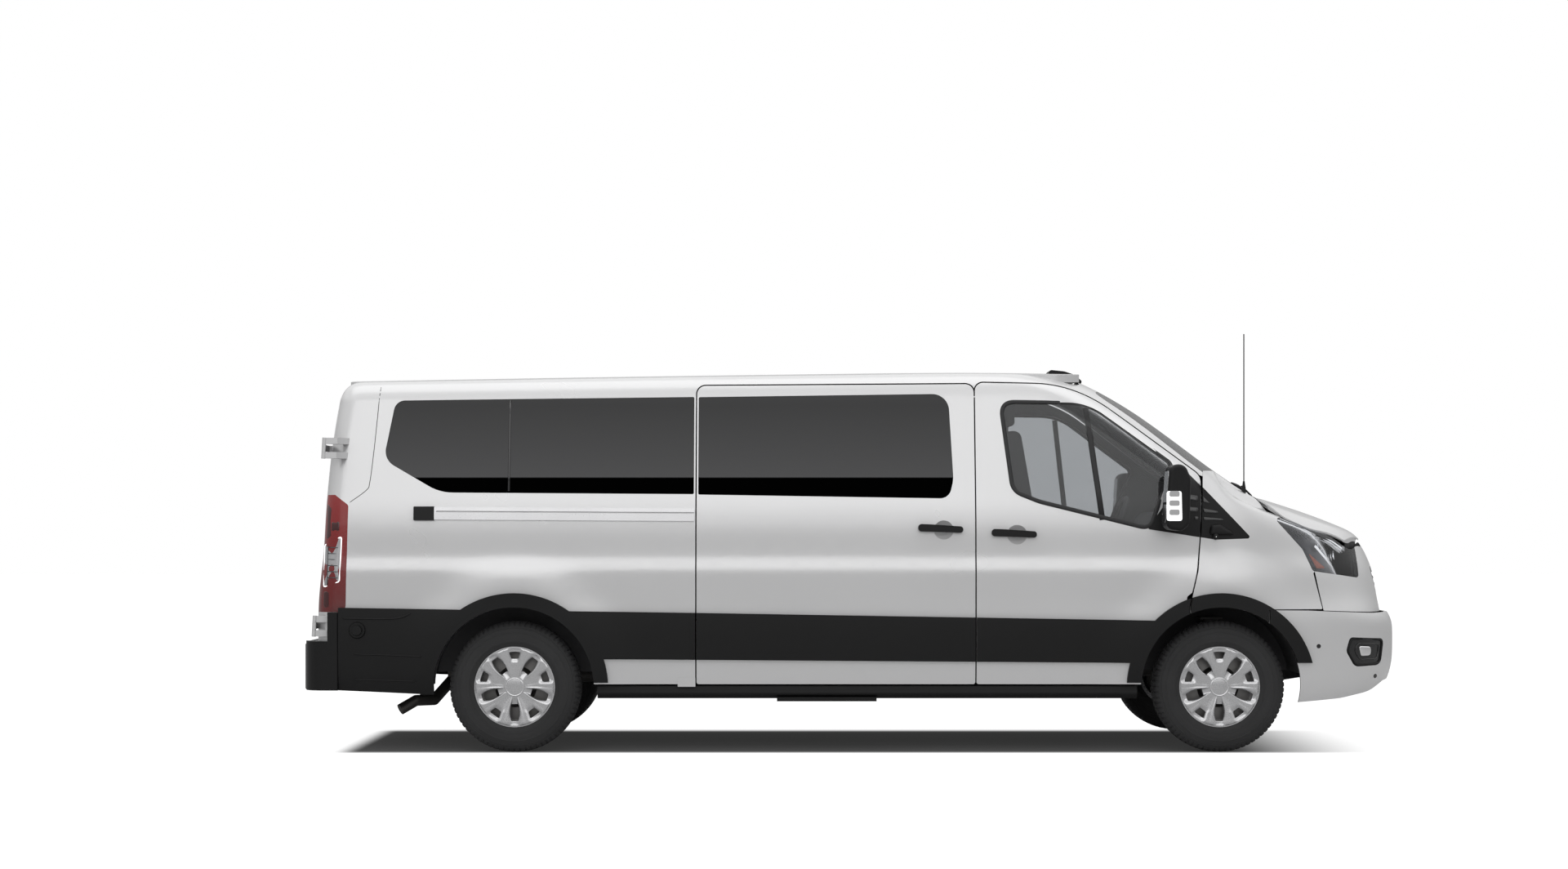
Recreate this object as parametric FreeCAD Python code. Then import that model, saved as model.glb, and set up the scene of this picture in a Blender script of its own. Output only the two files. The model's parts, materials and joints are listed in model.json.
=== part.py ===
import FreeCAD, Part
import math
import os

# Long-wheelbase low-roof minibus with twelve seats, at its real size.
# Frame: +X runs to the front, +Y to the left, +Z up. X = 0 is half way along the
# overall length, Y = 0 is the middle plane and Z = 0 is the ground under the tyres.
# A point's depth is measured from the outer skin inwards, so a negative depth
# stands proud of the paint.

Vec = FreeCAD.Vector

# Overall sizes
LENGTH = 5981.0
WHEELBASE = 3750.0
FRONT_OVERHANG = 1023.0
FRONT_TRACK = 1732.0
REAR_TRACK = 1743.0
HALF_LENGTH = LENGTH / 2
FRONT_AXLE_X = HALF_LENGTH - FRONT_OVERHANG
REAR_AXLE_X = FRONT_AXLE_X - WHEELBASE

# Tyres and wheels
TYRE_RADIUS = 350.0
TYRE_WIDTH = 235.0
RIM_RADIUS = 205.0
RIM_LIP_RADIUS = 216.0
RIM_WIDTH = 190.0
RIM_WALL = 9.0
COVER_RADIUS = 216.0
HUB_RADIUS = 78.0
SPINDLE_RADIUS = 28.0
SPINDLE_CLEARANCE = 0.05
BRAKE_RADIUS = 150.0
WHEEL_HEIGHT = TYRE_RADIUS

# Body shell
WALL = 60.0
FENDER_WALL = 10.0
BUMPER_WALL = 16.0
BONNET_WALL = 28.0
ROOF_WALL = 40.0
ROOF_SHOULDER = 95.0
NOSE_SHOULDER = 62.0
SIDE_BOTTOM = 366.0
CLADDING_DEPTH = 26.0
TRIM_DEPTH = 4.0
RAIL_DEPTH = 14.0
HANDLE_DEPTH = 32.0
CAP_DEPTH = 17.0
ROOF_GROOVE = 6.0
INSERT_SET_BACK = 4.0
GLASS_INSET = 3.0
GLASS_WALL = 6.0
SHUT_GAP = 7.0
REAR_DOOR_GAP = 8.0
SEAT_GAP = 0.3
BONNET_GAP = 7.0
BONNET_RIM = 9.0
BUFFER_RADIUS = 8.0
BUFFER_GAP = 0.9
ARCH_RADIUS = 425.0
MOULDING_RADIUS = 500.0
LINER_RADIUS = 440.0
LINER_WALL = 6.0

# Floor and chassis
FLOOR_TOP = 700.0
FLOOR_WALL = 50.0
FLOOR_HALF_WIDTH = 915.0
FRONT_HOUSING_Y = 545.0
ROCKER_BOTTOM = 400.0
REAR_HOUSING_Y = 730.0
RAIL_Y = 470.0
RAIL_WIDTH = 70.0
RAIL_HEIGHT = 130.0
RAIL_WALL = 8.0

# Door handles: rear end of each handle and the middle of the hand recess behind it, as (x, z)
FRONT_HANDLE = (FRONT_AXLE_X - 1215.0, 1171.0)
SLIDER_HANDLE = (FRONT_AXLE_X - 1605.0, 1197.0)
RECESS_AHEAD = 136.0
RECESS_BELOW = 8.0
RECESS_RADIUS = 90.0
RECESS_DEPTH = 18.0

# Doors and hinges
FRONT_HINGE_X = FRONT_AXLE_X - 77.5
FRONT_HINGE_Y = 968.0
FRONT_HINGE_LEVELS = (860.0, 985.0)
HINGE_RADIUS = 8.0
NECK_DEPTH = 55.0
NECK_WALL = 6.0
PILLAR_Y = 905.0
KNUCKLE_LENGTH = 34.0
REAR_HINGE_Y = 975.0
REAR_HINGE_LOW = (-HALF_LENGTH + 142.5, 654.0)
REAR_HINGE_HIGH = (-HALF_LENGTH + 193.5, 1600.0)
REAR_DOOR_EDGE_Y = 860.0
REAR_DOOR_BOTTOM = 592.0
REAR_DOOR_TOP = 1955.0

# How far the front door's leading edge is hollowed round the hinge line, at each height
EDGE_RELIEF = [(740, 123), (775, 123), (832, 114), (852, 92), (900, 81), (972, 63.5), (1040, 45.5),
               (1190, 33.5), (1290, 24)]
KINGPIN_Y = 780.0
GEARBOX_REAR_X = FRONT_AXLE_X - 480.0
GEARBOX_Z = 475.0
SHAFT_GAP = 0.5
KINGPIN_RADIUS = 15.0
REAR_SEAM_X = -HALF_LENGTH + 274.0
STEP_TOP = REAR_DOOR_BOTTOM - 22.0
STEP_WALL = 20.0
REAR_BUMPER_TOP = 747.7
SCUTTLE_TOP = 1290.0

# Half width of the body by height, over the painted skin
HALF_WIDTH = [(250, 950), (366, 985), (440, 994), (700, 1003), (800, 999), (970, 1003), (1040, 988),
              (1180, 986), (1290, 976), (1365, 962), (1880, 868), (1950, 852), (2150, 800)]
# Rear corner by height, forward of the rearmost point
REAR_CORNER = [(366, 147), (756, 148), (1067, 175), (1380, 190), (1537, 200), (1695, 216), (1856, 240),
               (2150, 290)]
REAR_BOW = 45.0
# Front of the cabin on the centre line by height, back from the frontmost point
SCREEN_LINE = [(366, 590), (1200, 650), (1364, 729), (1435, 837), (1505, 945), (1676, 1165), (1833, 1383),
               (1958, 1595), (2150, 1980)]
# Front of the nose and of the bumper by height, back from the frontmost point
NOSE_LINE = [(250, 95), (700, 57), (900, 68), (980, 82), (1040, 102), (1100, 132), (1150, 170), (1200, 230),
             (1300, 420), (1420, 760)]
NOSE_SQUARE = [(250, 4.2), (700, 4.2), (800, 3.5), (1000, 3.0), (1200, 2.8), (1420, 2.8)]
BUMPER_LINE = [(240, 140), (330, 55), (400, 20), (500, 0), (668, 0), (720, 14), (780, 60)]
BUMPER_SQUARE = 4.5
# Centre line of the roof and of the bonnet
ROOF_LINE = [(-3000, 2010), (-2600, 2018), (-1000, 2045), (0, 2058), (700, 2066), (1200, 2060), (1700, 2030),
             (2300, 1960)]
ROOF_CROWN = 42.0
BONNET_LINE = [(1820, 1610), (1935, 1528), (2043, 1458), (2158, 1397), (2310, 1359), (2524, 1293),
               (2720, 1218), (2800, 1182), (2920, 1112)]
BONNET_CROWN = [(1935, 10), (2043, 20), (2158, 36), (2300, 66), (2465, 90), (2720, 96)]


def value_at(table, z):
    """Smooth monotone curve through (z, value) pairs, straight beyond both ends."""
    last = len(table) - 1
    slopes = [(table[i + 1][1] - table[i][1]) / (table[i + 1][0] - table[i][0]) for i in range(last)]
    if z <= table[0][0]:
        return table[0][1] + (z - table[0][0]) * slopes[0]
    if z >= table[last][0]:
        return table[last][1] + (z - table[last][0]) * slopes[-1]
    tangents = [slopes[0]]
    for a, b in zip(slopes, slopes[1:]):
        tangents.append(0 if a * b <= 0 else 2 * a * b / (a + b))
    tangents.append(slopes[-1])
    i = max(k for k in range(last) if table[k][0] <= z)
    h = table[i + 1][0] - table[i][0]
    s = (z - table[i][0]) / h
    return ((2 * s**3 - 3 * s**2 + 1) * table[i][1] + (s**3 - 2 * s**2 + s) * h * tangents[i]
            + (3 * s**2 - 2 * s**3) * table[i + 1][1] + (s**3 - s**2) * h * tangents[i + 1])


def box(x0, x1, y0, y1, z0, z1):
    return Part.makeBox(x1 - x0, y1 - y0, z1 - z0, Vec(x0, y0, z0))


def cylinder(start, end, radius):
    direction = end.sub(start)
    return Part.makeCylinder(radius, direction.Length, start, direction)


def flip(shape):
    """The same piece on the other side of the vehicle."""
    return shape.mirror(Vec(0, 0, 0), Vec(0, 1, 0))


def fuse(shapes):
    return shapes[0].multiFuse(shapes[1:]).removeSplitter() if len(shapes) > 1 else shapes[0]


def largest(shape):
    """The main solid of a shape, without the slivers that a cut leaves."""
    return max(shape.Solids, key=lambda solid: solid.Volume)


def grow(corners, gap):
    """Moves every side of a closed outline out by a gap, and its corner radii with it."""
    n = len(corners)
    area = sum(corners[i][0] * corners[(i + 1) % n][1] - corners[(i + 1) % n][0] * corners[i][1]
               for i in range(n))
    turn = 1 if area > 0 else -1
    sides = []
    for i in range(n):
        (ax, az), (bx, bz) = corners[i][:2], corners[(i + 1) % n][:2]
        size = math.hypot(bx - ax, bz - az)
        dx, dz = (bx - ax) / size, (bz - az) / size
        sides.append((ax + turn * dz * gap, az - turn * dx * gap, dx, dz))
    grown = []
    for i in range(n):
        ax, az, adx, adz = sides[i - 1]
        bx, bz, bdx, bdz = sides[i]
        cross = adx * bdz - adz * bdx
        s = ((bx - ax) * bdz - (bz - az) * bdx) / cross
        radius = corners[i][2] + gap * (1 if cross * turn > 0 else -1)
        grown.append((ax + s * adx, az + s * adz, max(radius, 1.0)))
    return grown


def outline(corners, place):
    """Closed wire of straight sides with a tangent arc at each corner (a, b, radius)."""
    n = len(corners)
    starts, ends, middles = [], [], []
    for i in range(n):
        px, pz, radius = corners[i]
        ax, az = corners[i - 1][:2]
        bx, bz = corners[(i + 1) % n][:2]
        da, db = math.hypot(ax - px, az - pz), math.hypot(bx - px, bz - pz)
        ua, ub = ((ax - px) / da, (az - pz) / da), ((bx - px) / db, (bz - pz) / db)
        half = math.acos(max(-1, min(1, ua[0] * ub[0] + ua[1] * ub[1]))) / 2
        reach = min(radius / math.tan(half), 0.49 * da, 0.49 * db)
        arc = reach * math.tan(half)
        bis = (ua[0] + ub[0], ua[1] + ub[1])
        size = math.hypot(*bis) or 1
        sag = arc / math.sin(half) - arc
        starts.append((px + ua[0] * reach, pz + ua[1] * reach))
        ends.append((px + ub[0] * reach, pz + ub[1] * reach))
        middles.append((px + bis[0] / size * sag, pz + bis[1] / size * sag))
    edges = []
    for i in range(n):
        a, m, b = place(*starts[i]), place(*middles[i]), place(*ends[i])
        if a.distanceToPoint(b) > 0.01:
            edges.append(Part.Arc(a, m, b).toShape())
        edges.append(Part.LineSegment(b, place(*starts[(i + 1) % n])).toShape())
    return Part.Wire(edges)


def prism_y(corners, y0=-1200.0, y1=-500.0):
    """Side-view outline in (x, z) swept from y0 to y1."""
    return Part.Face(outline(corners, lambda x, z: Vec(x, y0, z))).extrude(Vec(0, y1 - y0, 0))


def prism_x(corners, x0, x1):
    """Front-view outline in (y, z) swept from x0 to x1."""
    return Part.Face(outline(corners, lambda y, z: Vec(x0, y, z))).extrude(Vec(x1 - x0, 0, 0))


def prism_z(corners, z0, z1):
    """Plan outline in (x, y) swept from z0 to z1."""
    return Part.Face(outline(corners, lambda x, y: Vec(x, y, z0))).extrude(Vec(0, 0, z1 - z0))


# Skins

def clamped_knots(count, degree=3):
    knots = [float(k) for k in range(count - degree + 1)]
    return knots, [degree + 1] + [1] * (len(knots) - 2) + [degree + 1]


def skin(grid, degree_u=3):
    """Smooth face that follows a grid of points."""
    ku, mu = clamped_knots(len(grid), degree_u)
    kv, mv = clamped_knots(len(grid[0]))
    surface = Part.BSplineSurface()
    surface.buildFromPolesMultsKnots(grid, mu, mv, ku, kv, False, False, degree_u, 3)
    return surface.toShape()


def slab(point, us, vs, depth, proud=0.0):
    """Closed wall between the skin at -proud and the skin at depth."""
    outer = [[point(u, v, -proud) for v in vs] for u in us]
    inner = [[point(u, v, depth) for v in vs] for u in us]
    faces = [skin(outer), skin(inner)]
    for a, b in ((outer[0], inner[0]), (outer[-1], inner[-1])):
        faces.append(skin([a, b], 1))
    for a, b in (([r[0] for r in outer], [r[0] for r in inner]),
                 ([r[-1] for r in outer], [r[-1] for r in inner])):
        faces.append(skin([a, b], 1))
    shell = Part.makeShell(faces)
    shell.sewShape()
    solid = Part.makeSolid(shell)
    if solid.Volume < 0:
        solid.reverse()
    return solid


def flare(x, z):
    """How far the panels swell outwards around each wheel arch."""
    swell = 0.0
    for axle in (FRONT_AXLE_X, REAR_AXLE_X):
        reach = math.hypot(x - axle, (z - WHEEL_HEIGHT) * 0.92)
        s = max(0.0, min(1.0, (660 - reach) / 190))
        swell = max(swell, 20.0 * s * s * (3 - 2 * s))
    return swell


def roof_z(x, y):
    return value_at(ROOF_LINE, x) - ROOF_CROWN * (y / 800) ** 2


def bonnet_z(x, y):
    return value_at(BONNET_LINE, x) - value_at(BONNET_CROWN, x) * (abs(y) / 900) ** 2.2


def rounded_front(angle, square):
    """Point on a unit superellipse, seen at an angle from the front centre."""
    c, s = abs(math.cos(angle)), abs(math.sin(angle))
    r = (c**square + s**square) ** (-1 / square)
    return r * c, r * s


def cabin_plan(u, z, depth):
    """u runs 0 to 1 over the rear, 1 to 2 round its corner, 2 to 3 along the side, 3 to 4 in front."""
    half = value_at(HALF_WIDTH, z) - depth
    rear = -HALF_LENGTH + value_at(REAR_CORNER, z) + depth
    front = HALF_LENGTH - value_at(SCREEN_LINE, z) - depth
    corner = 110 - min(depth, 40)
    tuck = 16.0
    nose = 450.0
    if u <= 1:
        y = u * (half - corner - tuck)
        return rear - REAR_BOW * (1 - u * u), y
    if u <= 2:
        angle = (u - 1) * math.pi / 2
        return rear + corner * (1 - math.cos(angle)), half - tuck - corner * (1 - math.sin(angle))
    if u <= 3:
        x = rear + corner + (front - nose - rear - corner) * (u - 2)
        bend = -1500.0
        inward = tuck * max(0.0, (bend - x) / (bend - rear - corner)) ** 2
        return x, half - inward + flare(x, z)
    fx, fy = rounded_front((4 - u) * math.pi / 2, 2.6)
    return front - nose + nose * fx, half * fy


def over_shoulder(plan, top, u, v, depth, radius, start, finish):
    """v 0 to 1 up the wall, 1 to 2 round the shoulder, 2 to 3 in over the top."""
    x, y = plan(u, finish, radius)
    crown = top(x, y)
    if v <= 1:
        z = start + (crown - radius - start) * v
        x, y = plan(u, z, depth)
        return Vec(x, -y, z)
    if v <= 2:
        angle = (v - 1) * math.pi / 2
        z = crown - radius + (radius - depth) * math.sin(angle)
        x, y = plan(u, z, depth + (radius - depth) * (1 - math.cos(angle)))
        return Vec(x, -y, z)
    x, y = plan(u, crown - depth, radius + (v - 2) * 150)
    return Vec(x, -y, top(x, y) - depth)


def cabin_point(u, v, depth):
    """v below 10 is a height in metres on the wall, above it the shoulder and the roof edge."""
    finish = 1990.0
    if v < 10:
        x, y = cabin_plan(u, v * 1000, depth)
        return Vec(x, -y, v * 1000)
    return over_shoulder(cabin_plan, roof_z, u, v - 9, depth, ROOF_SHOULDER, SIDE_BOTTOM, finish)


CABIN_U = ([0, .25, .5, .75, 1, 1.25, 1.5, 1.75, 2] + [2 + i / 44 for i in range(1, 44)]
           + [3, 3.1, 3.22, 3.34, 3.46, 3.6, 3.75, 3.88, 4])
CABIN_V = [z / 1000 for z in (300, 333, 366, 420, 500, 580, 660, 740, 800, 860, 920, 970, 1005, 1040, 1110,
                              1180, 1290,
                              1365, 1500, 1650, 1800, 1880)] + [10, 10.3, 10.6, 10.85, 11, 11.25, 11.5]


def nose_plan(u, z, depth, line=NOSE_LINE, square=None):
    """u runs 0 to 1 along the side, 1 to 2 round the front."""
    half = value_at(HALF_WIDTH, z) - depth
    start = FRONT_AXLE_X - 17.5
    if u <= 1:
        x = start - 150 + 150 * u
        return x, half + flare(x, z)
    front = HALF_LENGTH - value_at(line, z) - depth
    power = value_at(NOSE_SQUARE, z) if square is None else square
    fx, fy = rounded_front((2 - u) * math.pi / 2, power)
    x = start + (front - start) * fx
    return x, half * fy + flare(x, z) * min(1.0, (2 - u) * 3)


def nose_point(u, v, depth):
    """v 0 to 1 up the wall, 1 to 2 round the shoulder, 2 to 3 in over the bonnet."""
    finish = 1130.0
    start = 640.0
    return over_shoulder(nose_plan, bonnet_z, u, v, depth, NOSE_SHOULDER, start, finish)


def bumper_point(u, z, depth):
    x, y = nose_plan(u, z, depth, BUMPER_LINE, BUMPER_SQUARE)
    return Vec(x, -y, z)


NOSE_U = [0, .33, .67] + [1 + i / 16 for i in range(17)]
NOSE_V = [0, .12, .24, .36, .48, .6, .7, .8, .9, 1, 1.3, 1.6, 1.85, 2, 2.25, 2.6, 3]
BUMPER_V = [240, 290, 330, 380, 440, 500, 580, 660, 700, 740, 780]

# Outlines seen from the side, as corners (x, z, radius)

DOOR_REAR_X = FRONT_AXLE_X - 1295.0
SLIDER_REAR_X = FRONT_AXLE_X - 2782.0


def front_door_outline():
    fx = FRONT_AXLE_X
    return [(DOOR_REAR_X, SIDE_BOTTOM, 12), (fx - 400, SIDE_BOTTOM, 5), (fx - 160, 690, 5),
            (fx - 172, 775, 60),
            (fx - 125, 972, 160), (fx - 106, 1190, 300), (fx - 92, 1478, 60), (fx - 746, 1964, 700),
            (DOOR_REAR_X, 1975, 45)]


def front_door_glass_outline():
    fx = FRONT_AXLE_X
    return [(fx - 1161, 1872, 70), (fx - 1100, 1392, 90), (fx - 960, 1336, 160), (fx - 374, 1190, 60),
            (fx - 243, 1540, 40), (fx - 690, 1866, 330)]


def slider_outline():
    x1 = DOOR_REAR_X - SHUT_GAP
    x0 = SLIDER_REAR_X
    return [(x0, SIDE_BOTTOM, 12), (x1, SIDE_BOTTOM, 12), (x1, 1967, 45), (x0, 1957, 45)]


def slider_glass_outline():
    x0 = SLIDER_REAR_X + 8
    x1 = DOOR_REAR_X - 120
    return [(x0, 1373, 8), (x1 - 25, 1352, 60), (x1, 1450, 200), (x1 - 24, 1914, 90), (x0, 1896, 8)]


def quarter_glass_outline():
    x1 = SLIDER_REAR_X - 15
    ax = REAR_AXLE_X
    return [(ax - 646, 1878, 60), (ax - 704, 1560, 90), (ax - 400, 1384, 260), (x1, 1375, 8), (x1, 1897, 8)]


def headlamp_outline():
    hx = HALF_LENGTH
    return [(hx - 729, 1246, 14), (hx - 560, 1275, 20), (hx - 330, 1235, 20), (hx - 246, 1170, 20),
            (hx - 246, 927, 16), (hx - 524, 966, 20), (hx - 577, 1081, 60)]


def sail_outline():
    fx = FRONT_AXLE_X
    return [(fx - 166, 1495, 8), (fx + 168, 1140, 10), (fx - 22, 1133, 60), (fx - 388, 1190, 8)]


def fender_outline():
    fx, hx = FRONT_AXLE_X, HALF_LENGTH
    gap = SHUT_GAP
    return [(fx - 172 + gap, 775, 60), (fx - 160, 690, 5), (fx - 160, 600, 5), (fx + 256, 600, 5),
            (fx + 256, 764, 5), (hx - 476, 764, 5), (hx - 522, 955, 5), (hx - 470, 1010, 5),
            (hx - 560, 1160, 5),
            (hx - 650, 1250, 5), (hx - 700, 1320, 5), (hx - 812, 1450, 30), (fx - 30, 1500, 20),
            (fx - 92 + gap, 1500, 5), (fx - 106 + gap, 1190, 300), (fx - 125 + gap, 972, 160)]


def fascia_outline():
    hx = HALF_LENGTH
    return [(hx - 470, 756, 5), (hx - 192, 745, 80), (hx + 60, 745, 5), (hx + 60, 1200, 5),
            (hx - 240, 1200, 5),
            (hx - 300, 950, 5), (hx - 516, 975, 5)]


def arch(axle_x, radius, y0=-1200.0, y1=-500.0):
    return cylinder(Vec(axle_x, y0, WHEEL_HEIGHT), Vec(axle_x, y1, WHEEL_HEIGHT), radius)


def grille_outline():
    return [(-590, 985, 40), (-520, 790, 50), (520, 790, 50), (590, 985, 40)]


def screen_outline():
    return [(-838, 1376, 60), (-600, 1352, 400), (600, 1352, 400), (838, 1376, 60), (690, 1925, 110),
            (300, 1965, 900), (-300, 1965, 900), (-690, 1925, 110)]


def rear_door_outline():
    """Right-hand rear door seen from the back, as (y, z)."""
    return [(-REAR_DOOR_EDGE_Y, REAR_DOOR_BOTTOM, 40), (-REAR_DOOR_GAP / 2, REAR_DOOR_BOTTOM, 8),
            (-REAR_DOOR_GAP / 2, REAR_DOOR_TOP, 8), (-REAR_DOOR_EDGE_Y + 90, REAR_DOOR_TOP - 12, 120),
            (-REAR_DOOR_EDGE_Y, 1400, 900)]


def rear_glass_outline():
    return [(-742, 1392, 60), (-88, 1392, 60), (-88, 1868, 60), (-680, 1868, 90)]


def roof_outline():
    half = 735.0
    return [(-HALF_LENGTH + 290, -half, 120), (HALF_LENGTH - 1740, -half, 160),
            (HALF_LENGTH - 1700, 0, 3000),
            (HALF_LENGTH - 1740, half, 160), (-HALF_LENGTH + 290, half, 120), (-HALF_LENGTH + 260, 0, 3000)]


def bonnet_outline():
    hx = HALF_LENGTH
    right = [(hx - 838, -800, 30), (hx - 720, -905, 120), (hx - 525, -868, 300), (hx - 290, -745, 200),
             (hx - 190, -520, 300)]
    front = [(hx - 128, 0, 1600)]
    left = [(x, -y, r) for x, y, r in reversed(right)]
    return right + front + left + [(hx - 668, 0, 1400)]


def cabin_wall():
    """Right half of the cabin wall with its shoulder, from the rear doors to the windscreen."""
    wall = slab(cabin_point, CABIN_U, CABIN_V, WALL)
    return wall.cut(box(-3100, 3100, -1200, 200, 200, SIDE_BOTTOM))


def shut_wedge():
    """Cuts the front door's rear edge back towards the cabin, so that it swings out past the pillar."""
    low = Vec(DOOR_REAR_X, -985, SIDE_BOTTOM - 40)
    high = Vec(DOOR_REAR_X, -848, 1990)
    inward = Vec(36, 180, 0)
    outward = Vec(-2, -10, 0)
    corners = [low.add(outward), low.add(inward), high.add(inward), high.add(outward)]
    face = Part.Face(Part.makePolygon(corners + [corners[0]]))
    return face.extrude(Vec(-200, 0, 0))


def make_body_side(wall, is_right):
    side = wall.cut(prism_y(grow(front_door_outline(), SHUT_GAP), -1200, -600))
    side = side.cut(box(FRONT_AXLE_X - 330, 3000, -1200, 0, 0, 1100))
    nose_cut = [(FRONT_AXLE_X - 160, 1090, 5), (3000, 1090, 5), (3000, 1366, 5),
                (HALF_LENGTH - 832, 1385, 5),
                (FRONT_AXLE_X + 60, 1430, 40), (FRONT_AXLE_X - 160, 1500, 5)]
    side = side.cut(prism_y(nose_cut, -1200, 0))
    side = side.cut(prism_z(roof_outline(), 1700, 2300))
    side = side.cut(prism_x(screen_outline(), 900, 2600))
    side = side.cut(prism_x(grow(rear_door_outline(), SHUT_GAP), -3100, -2500))
    side = side.cut(box(-3100, -2500, -300, 0, 300, REAR_DOOR_TOP + SHUT_GAP))
    side = side.cut(box(-3100, -2500, -REAR_DOOR_EDGE_Y - SHUT_GAP, 0, 300, REAR_DOOR_BOTTOM + 60))
    side = side.cut(prism_y(quarter_glass_outline(), -1200, -600)).cut(tail_lamp_prism())
    side = side.cut(arch(REAR_AXLE_X, ARCH_RADIUS)).cut(arch(FRONT_AXLE_X, ARCH_RADIUS + 3))
    if is_right:
        side = side.cut(prism_y(grow(slider_outline(), SHUT_GAP), -1200, -600))
        side = side.cut(box(SLIDER_REAR_X - 100, DOOR_REAR_X, -1200, -800, 300, 400))
    else:
        side = side.cut(prism_y(slider_glass_outline(), -1200, -600))
    post = box(DOOR_REAR_X - SHUT_GAP - 40, DOOR_REAR_X - SHUT_GAP - 8, -950, -FLOOR_HALF_WIDTH, 500,
               FLOOR_TOP)
    tie = box(REAR_AXLE_X - 900, SLIDER_REAR_X - 30, -965, -FLOOR_HALF_WIDTH, FLOOR_TOP - FLOOR_WALL,
              FLOOR_TOP)
    tie = tie.cut(arch(REAR_AXLE_X, ARCH_RADIUS + 20, -1200, -500))
    return fuse([side, tie, post] if not is_right else [side, tie])


def make_roof():
    xs = [-2850 + 530 * i for i in range(9)]
    ys = [-820, -600, -400, -200, 0, 200, 400, 600, 820]
    top = [[Vec(x, y, roof_z(x, y)) for y in ys] for x in xs]
    panel = skin(top).extrude(Vec(0, 0, -ROOF_WALL)).common(prism_z(roof_outline(), 1700, 2300))
    lowered = [[Vec(x, y, roof_z(x, y) - ROOF_GROOVE) for y in ys] for x in xs]
    above = skin(lowered).extrude(Vec(0, 0, 100))
    for y in (-480, -160, 160, 480):
        groove = [(-HALF_LENGTH + 520, y - 45, 40), (HALF_LENGTH - 2050, y - 45, 40),
                  (HALF_LENGTH - 2050, y + 45, 40),
                  (-HALF_LENGTH + 520, y + 45, 40)]
        panel = panel.cut(above.common(prism_z(groove, 1700, 2300)))
    return panel


def hand_recess(place):
    """Shallow dish in the door behind a handle."""
    x, z = place[0] + RECESS_AHEAD, place[1] - RECESS_BELOW
    y = value_at(HALF_WIDTH, z) + RECESS_RADIUS - RECESS_DEPTH
    return Part.makeSphere(RECESS_RADIUS, Vec(x, -y, z))


def make_handle(far, near, place):
    """Pull handle with its key end to the rear, standing off the door between its two feet."""
    x, z = place
    bar = prism_y([(x, z + 20, 18), (x + 80, z + 17, 200), (x + 238, z + 6, 16), (x + 238, z - 28, 16),
                   (x + 80, z - 22, 200), (x, z - 20, 18)], -1200, -900)
    opening = prism_y([(x + 78, z - 45, 10), (x + 78, z + 40, 10), (x + 208, z + 40, 10),
                       (x + 208, z - 45, 10)],
                      -1200, -900)
    return far.common(bar).cut(near.common(opening))


def edge_relief():
    """Turned hollow that lets the front door's leading edge swing past the fender."""
    lowest, highest = EDGE_RELIEF[0][0], EDGE_RELIEF[-1][0]
    corners = [Vec(FRONT_HINGE_X, -FRONT_HINGE_Y, lowest)]
    corners += [Vec(FRONT_HINGE_X - radius, -FRONT_HINGE_Y, z) for z, radius in EDGE_RELIEF]
    corners.append(Vec(FRONT_HINGE_X, -FRONT_HINGE_Y, highest))
    face = Part.Face(Part.makePolygon(corners + [corners[0]]))
    return face.revolve(Vec(FRONT_HINGE_X, -FRONT_HINGE_Y, 0), Vec(0, 0, 1), 360)


def make_front_door(wall):
    door = wall.common(prism_y(front_door_outline(), -1200, -600))
    door = door.cut(arch(FRONT_AXLE_X, ARCH_RADIUS)).cut(shut_wedge())
    door = door.cut(prism_y(front_door_glass_outline())).cut(hand_recess(FRONT_HANDLE))
    inner_flange = box(DOOR_REAR_X - 50, FRONT_AXLE_X, -770, -500, 1800, 2100)
    return fuse([door.cut(edge_relief()).cut(inner_flange)] + door_hinges())


def make_door_sail(trim):
    """The front door's part of the black corner trim, with the mirror's foot on it."""
    sail = trim.common(prism_y(sail_outline(), -1200, 0))
    sail = sail.common(prism_y(grow(front_door_outline(), -1), -1200, -600))
    return largest(sail.cut(prism_y(front_door_glass_outline())))


def door_hinges():
    """Swan-neck arms that carry the front door round the edge of the fender."""
    arms = []
    hy = -FRONT_HINGE_Y
    inside = hy + NECK_DEPTH
    half = NECK_WALL / 2
    for level in FRONT_HINGE_LEVELS:
        top = level + KNUCKLE_LENGTH
        barrel = cylinder(Vec(FRONT_HINGE_X, hy, level), Vec(FRONT_HINGE_X, hy, top), HINGE_RADIUS)
        neck = box(FRONT_HINGE_X - half, FRONT_HINGE_X + half, hy, inside + half, level, top)
        strap = box(FRONT_HINGE_X - 155, FRONT_HINGE_X + half, inside - half, inside + half, level, top)
        foot = box(FRONT_HINGE_X - 155, FRONT_HINGE_X - 110, hy - 12, inside, level, top)
        arms += [barrel, neck, strap, foot]
    return arms


def make_hinge_posts():
    """Door pillar behind the fender, with the fixed half of each hinge below the door's own."""
    hy = -FRONT_HINGE_Y
    pillar = box(FRONT_HINGE_X - 10, FRONT_AXLE_X + 50, -PILLAR_Y, -860, 700, 1330)
    parts = [pillar.cut(arch(FRONT_AXLE_X, LINER_RADIUS + LINER_WALL / 2))]
    for level in FRONT_HINGE_LEVELS:
        low = level - KNUCKLE_LENGTH - SEAT_GAP
        parts.append(cylinder(Vec(FRONT_HINGE_X, hy, low), Vec(FRONT_HINGE_X, hy, level - SEAT_GAP),
                              HINGE_RADIUS))
        parts.append(box(FRONT_HINGE_X - 4, FRONT_HINGE_X + 4, hy, -PILLAR_Y + 5, low, level - SEAT_GAP))
    return fuse(parts)


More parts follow.
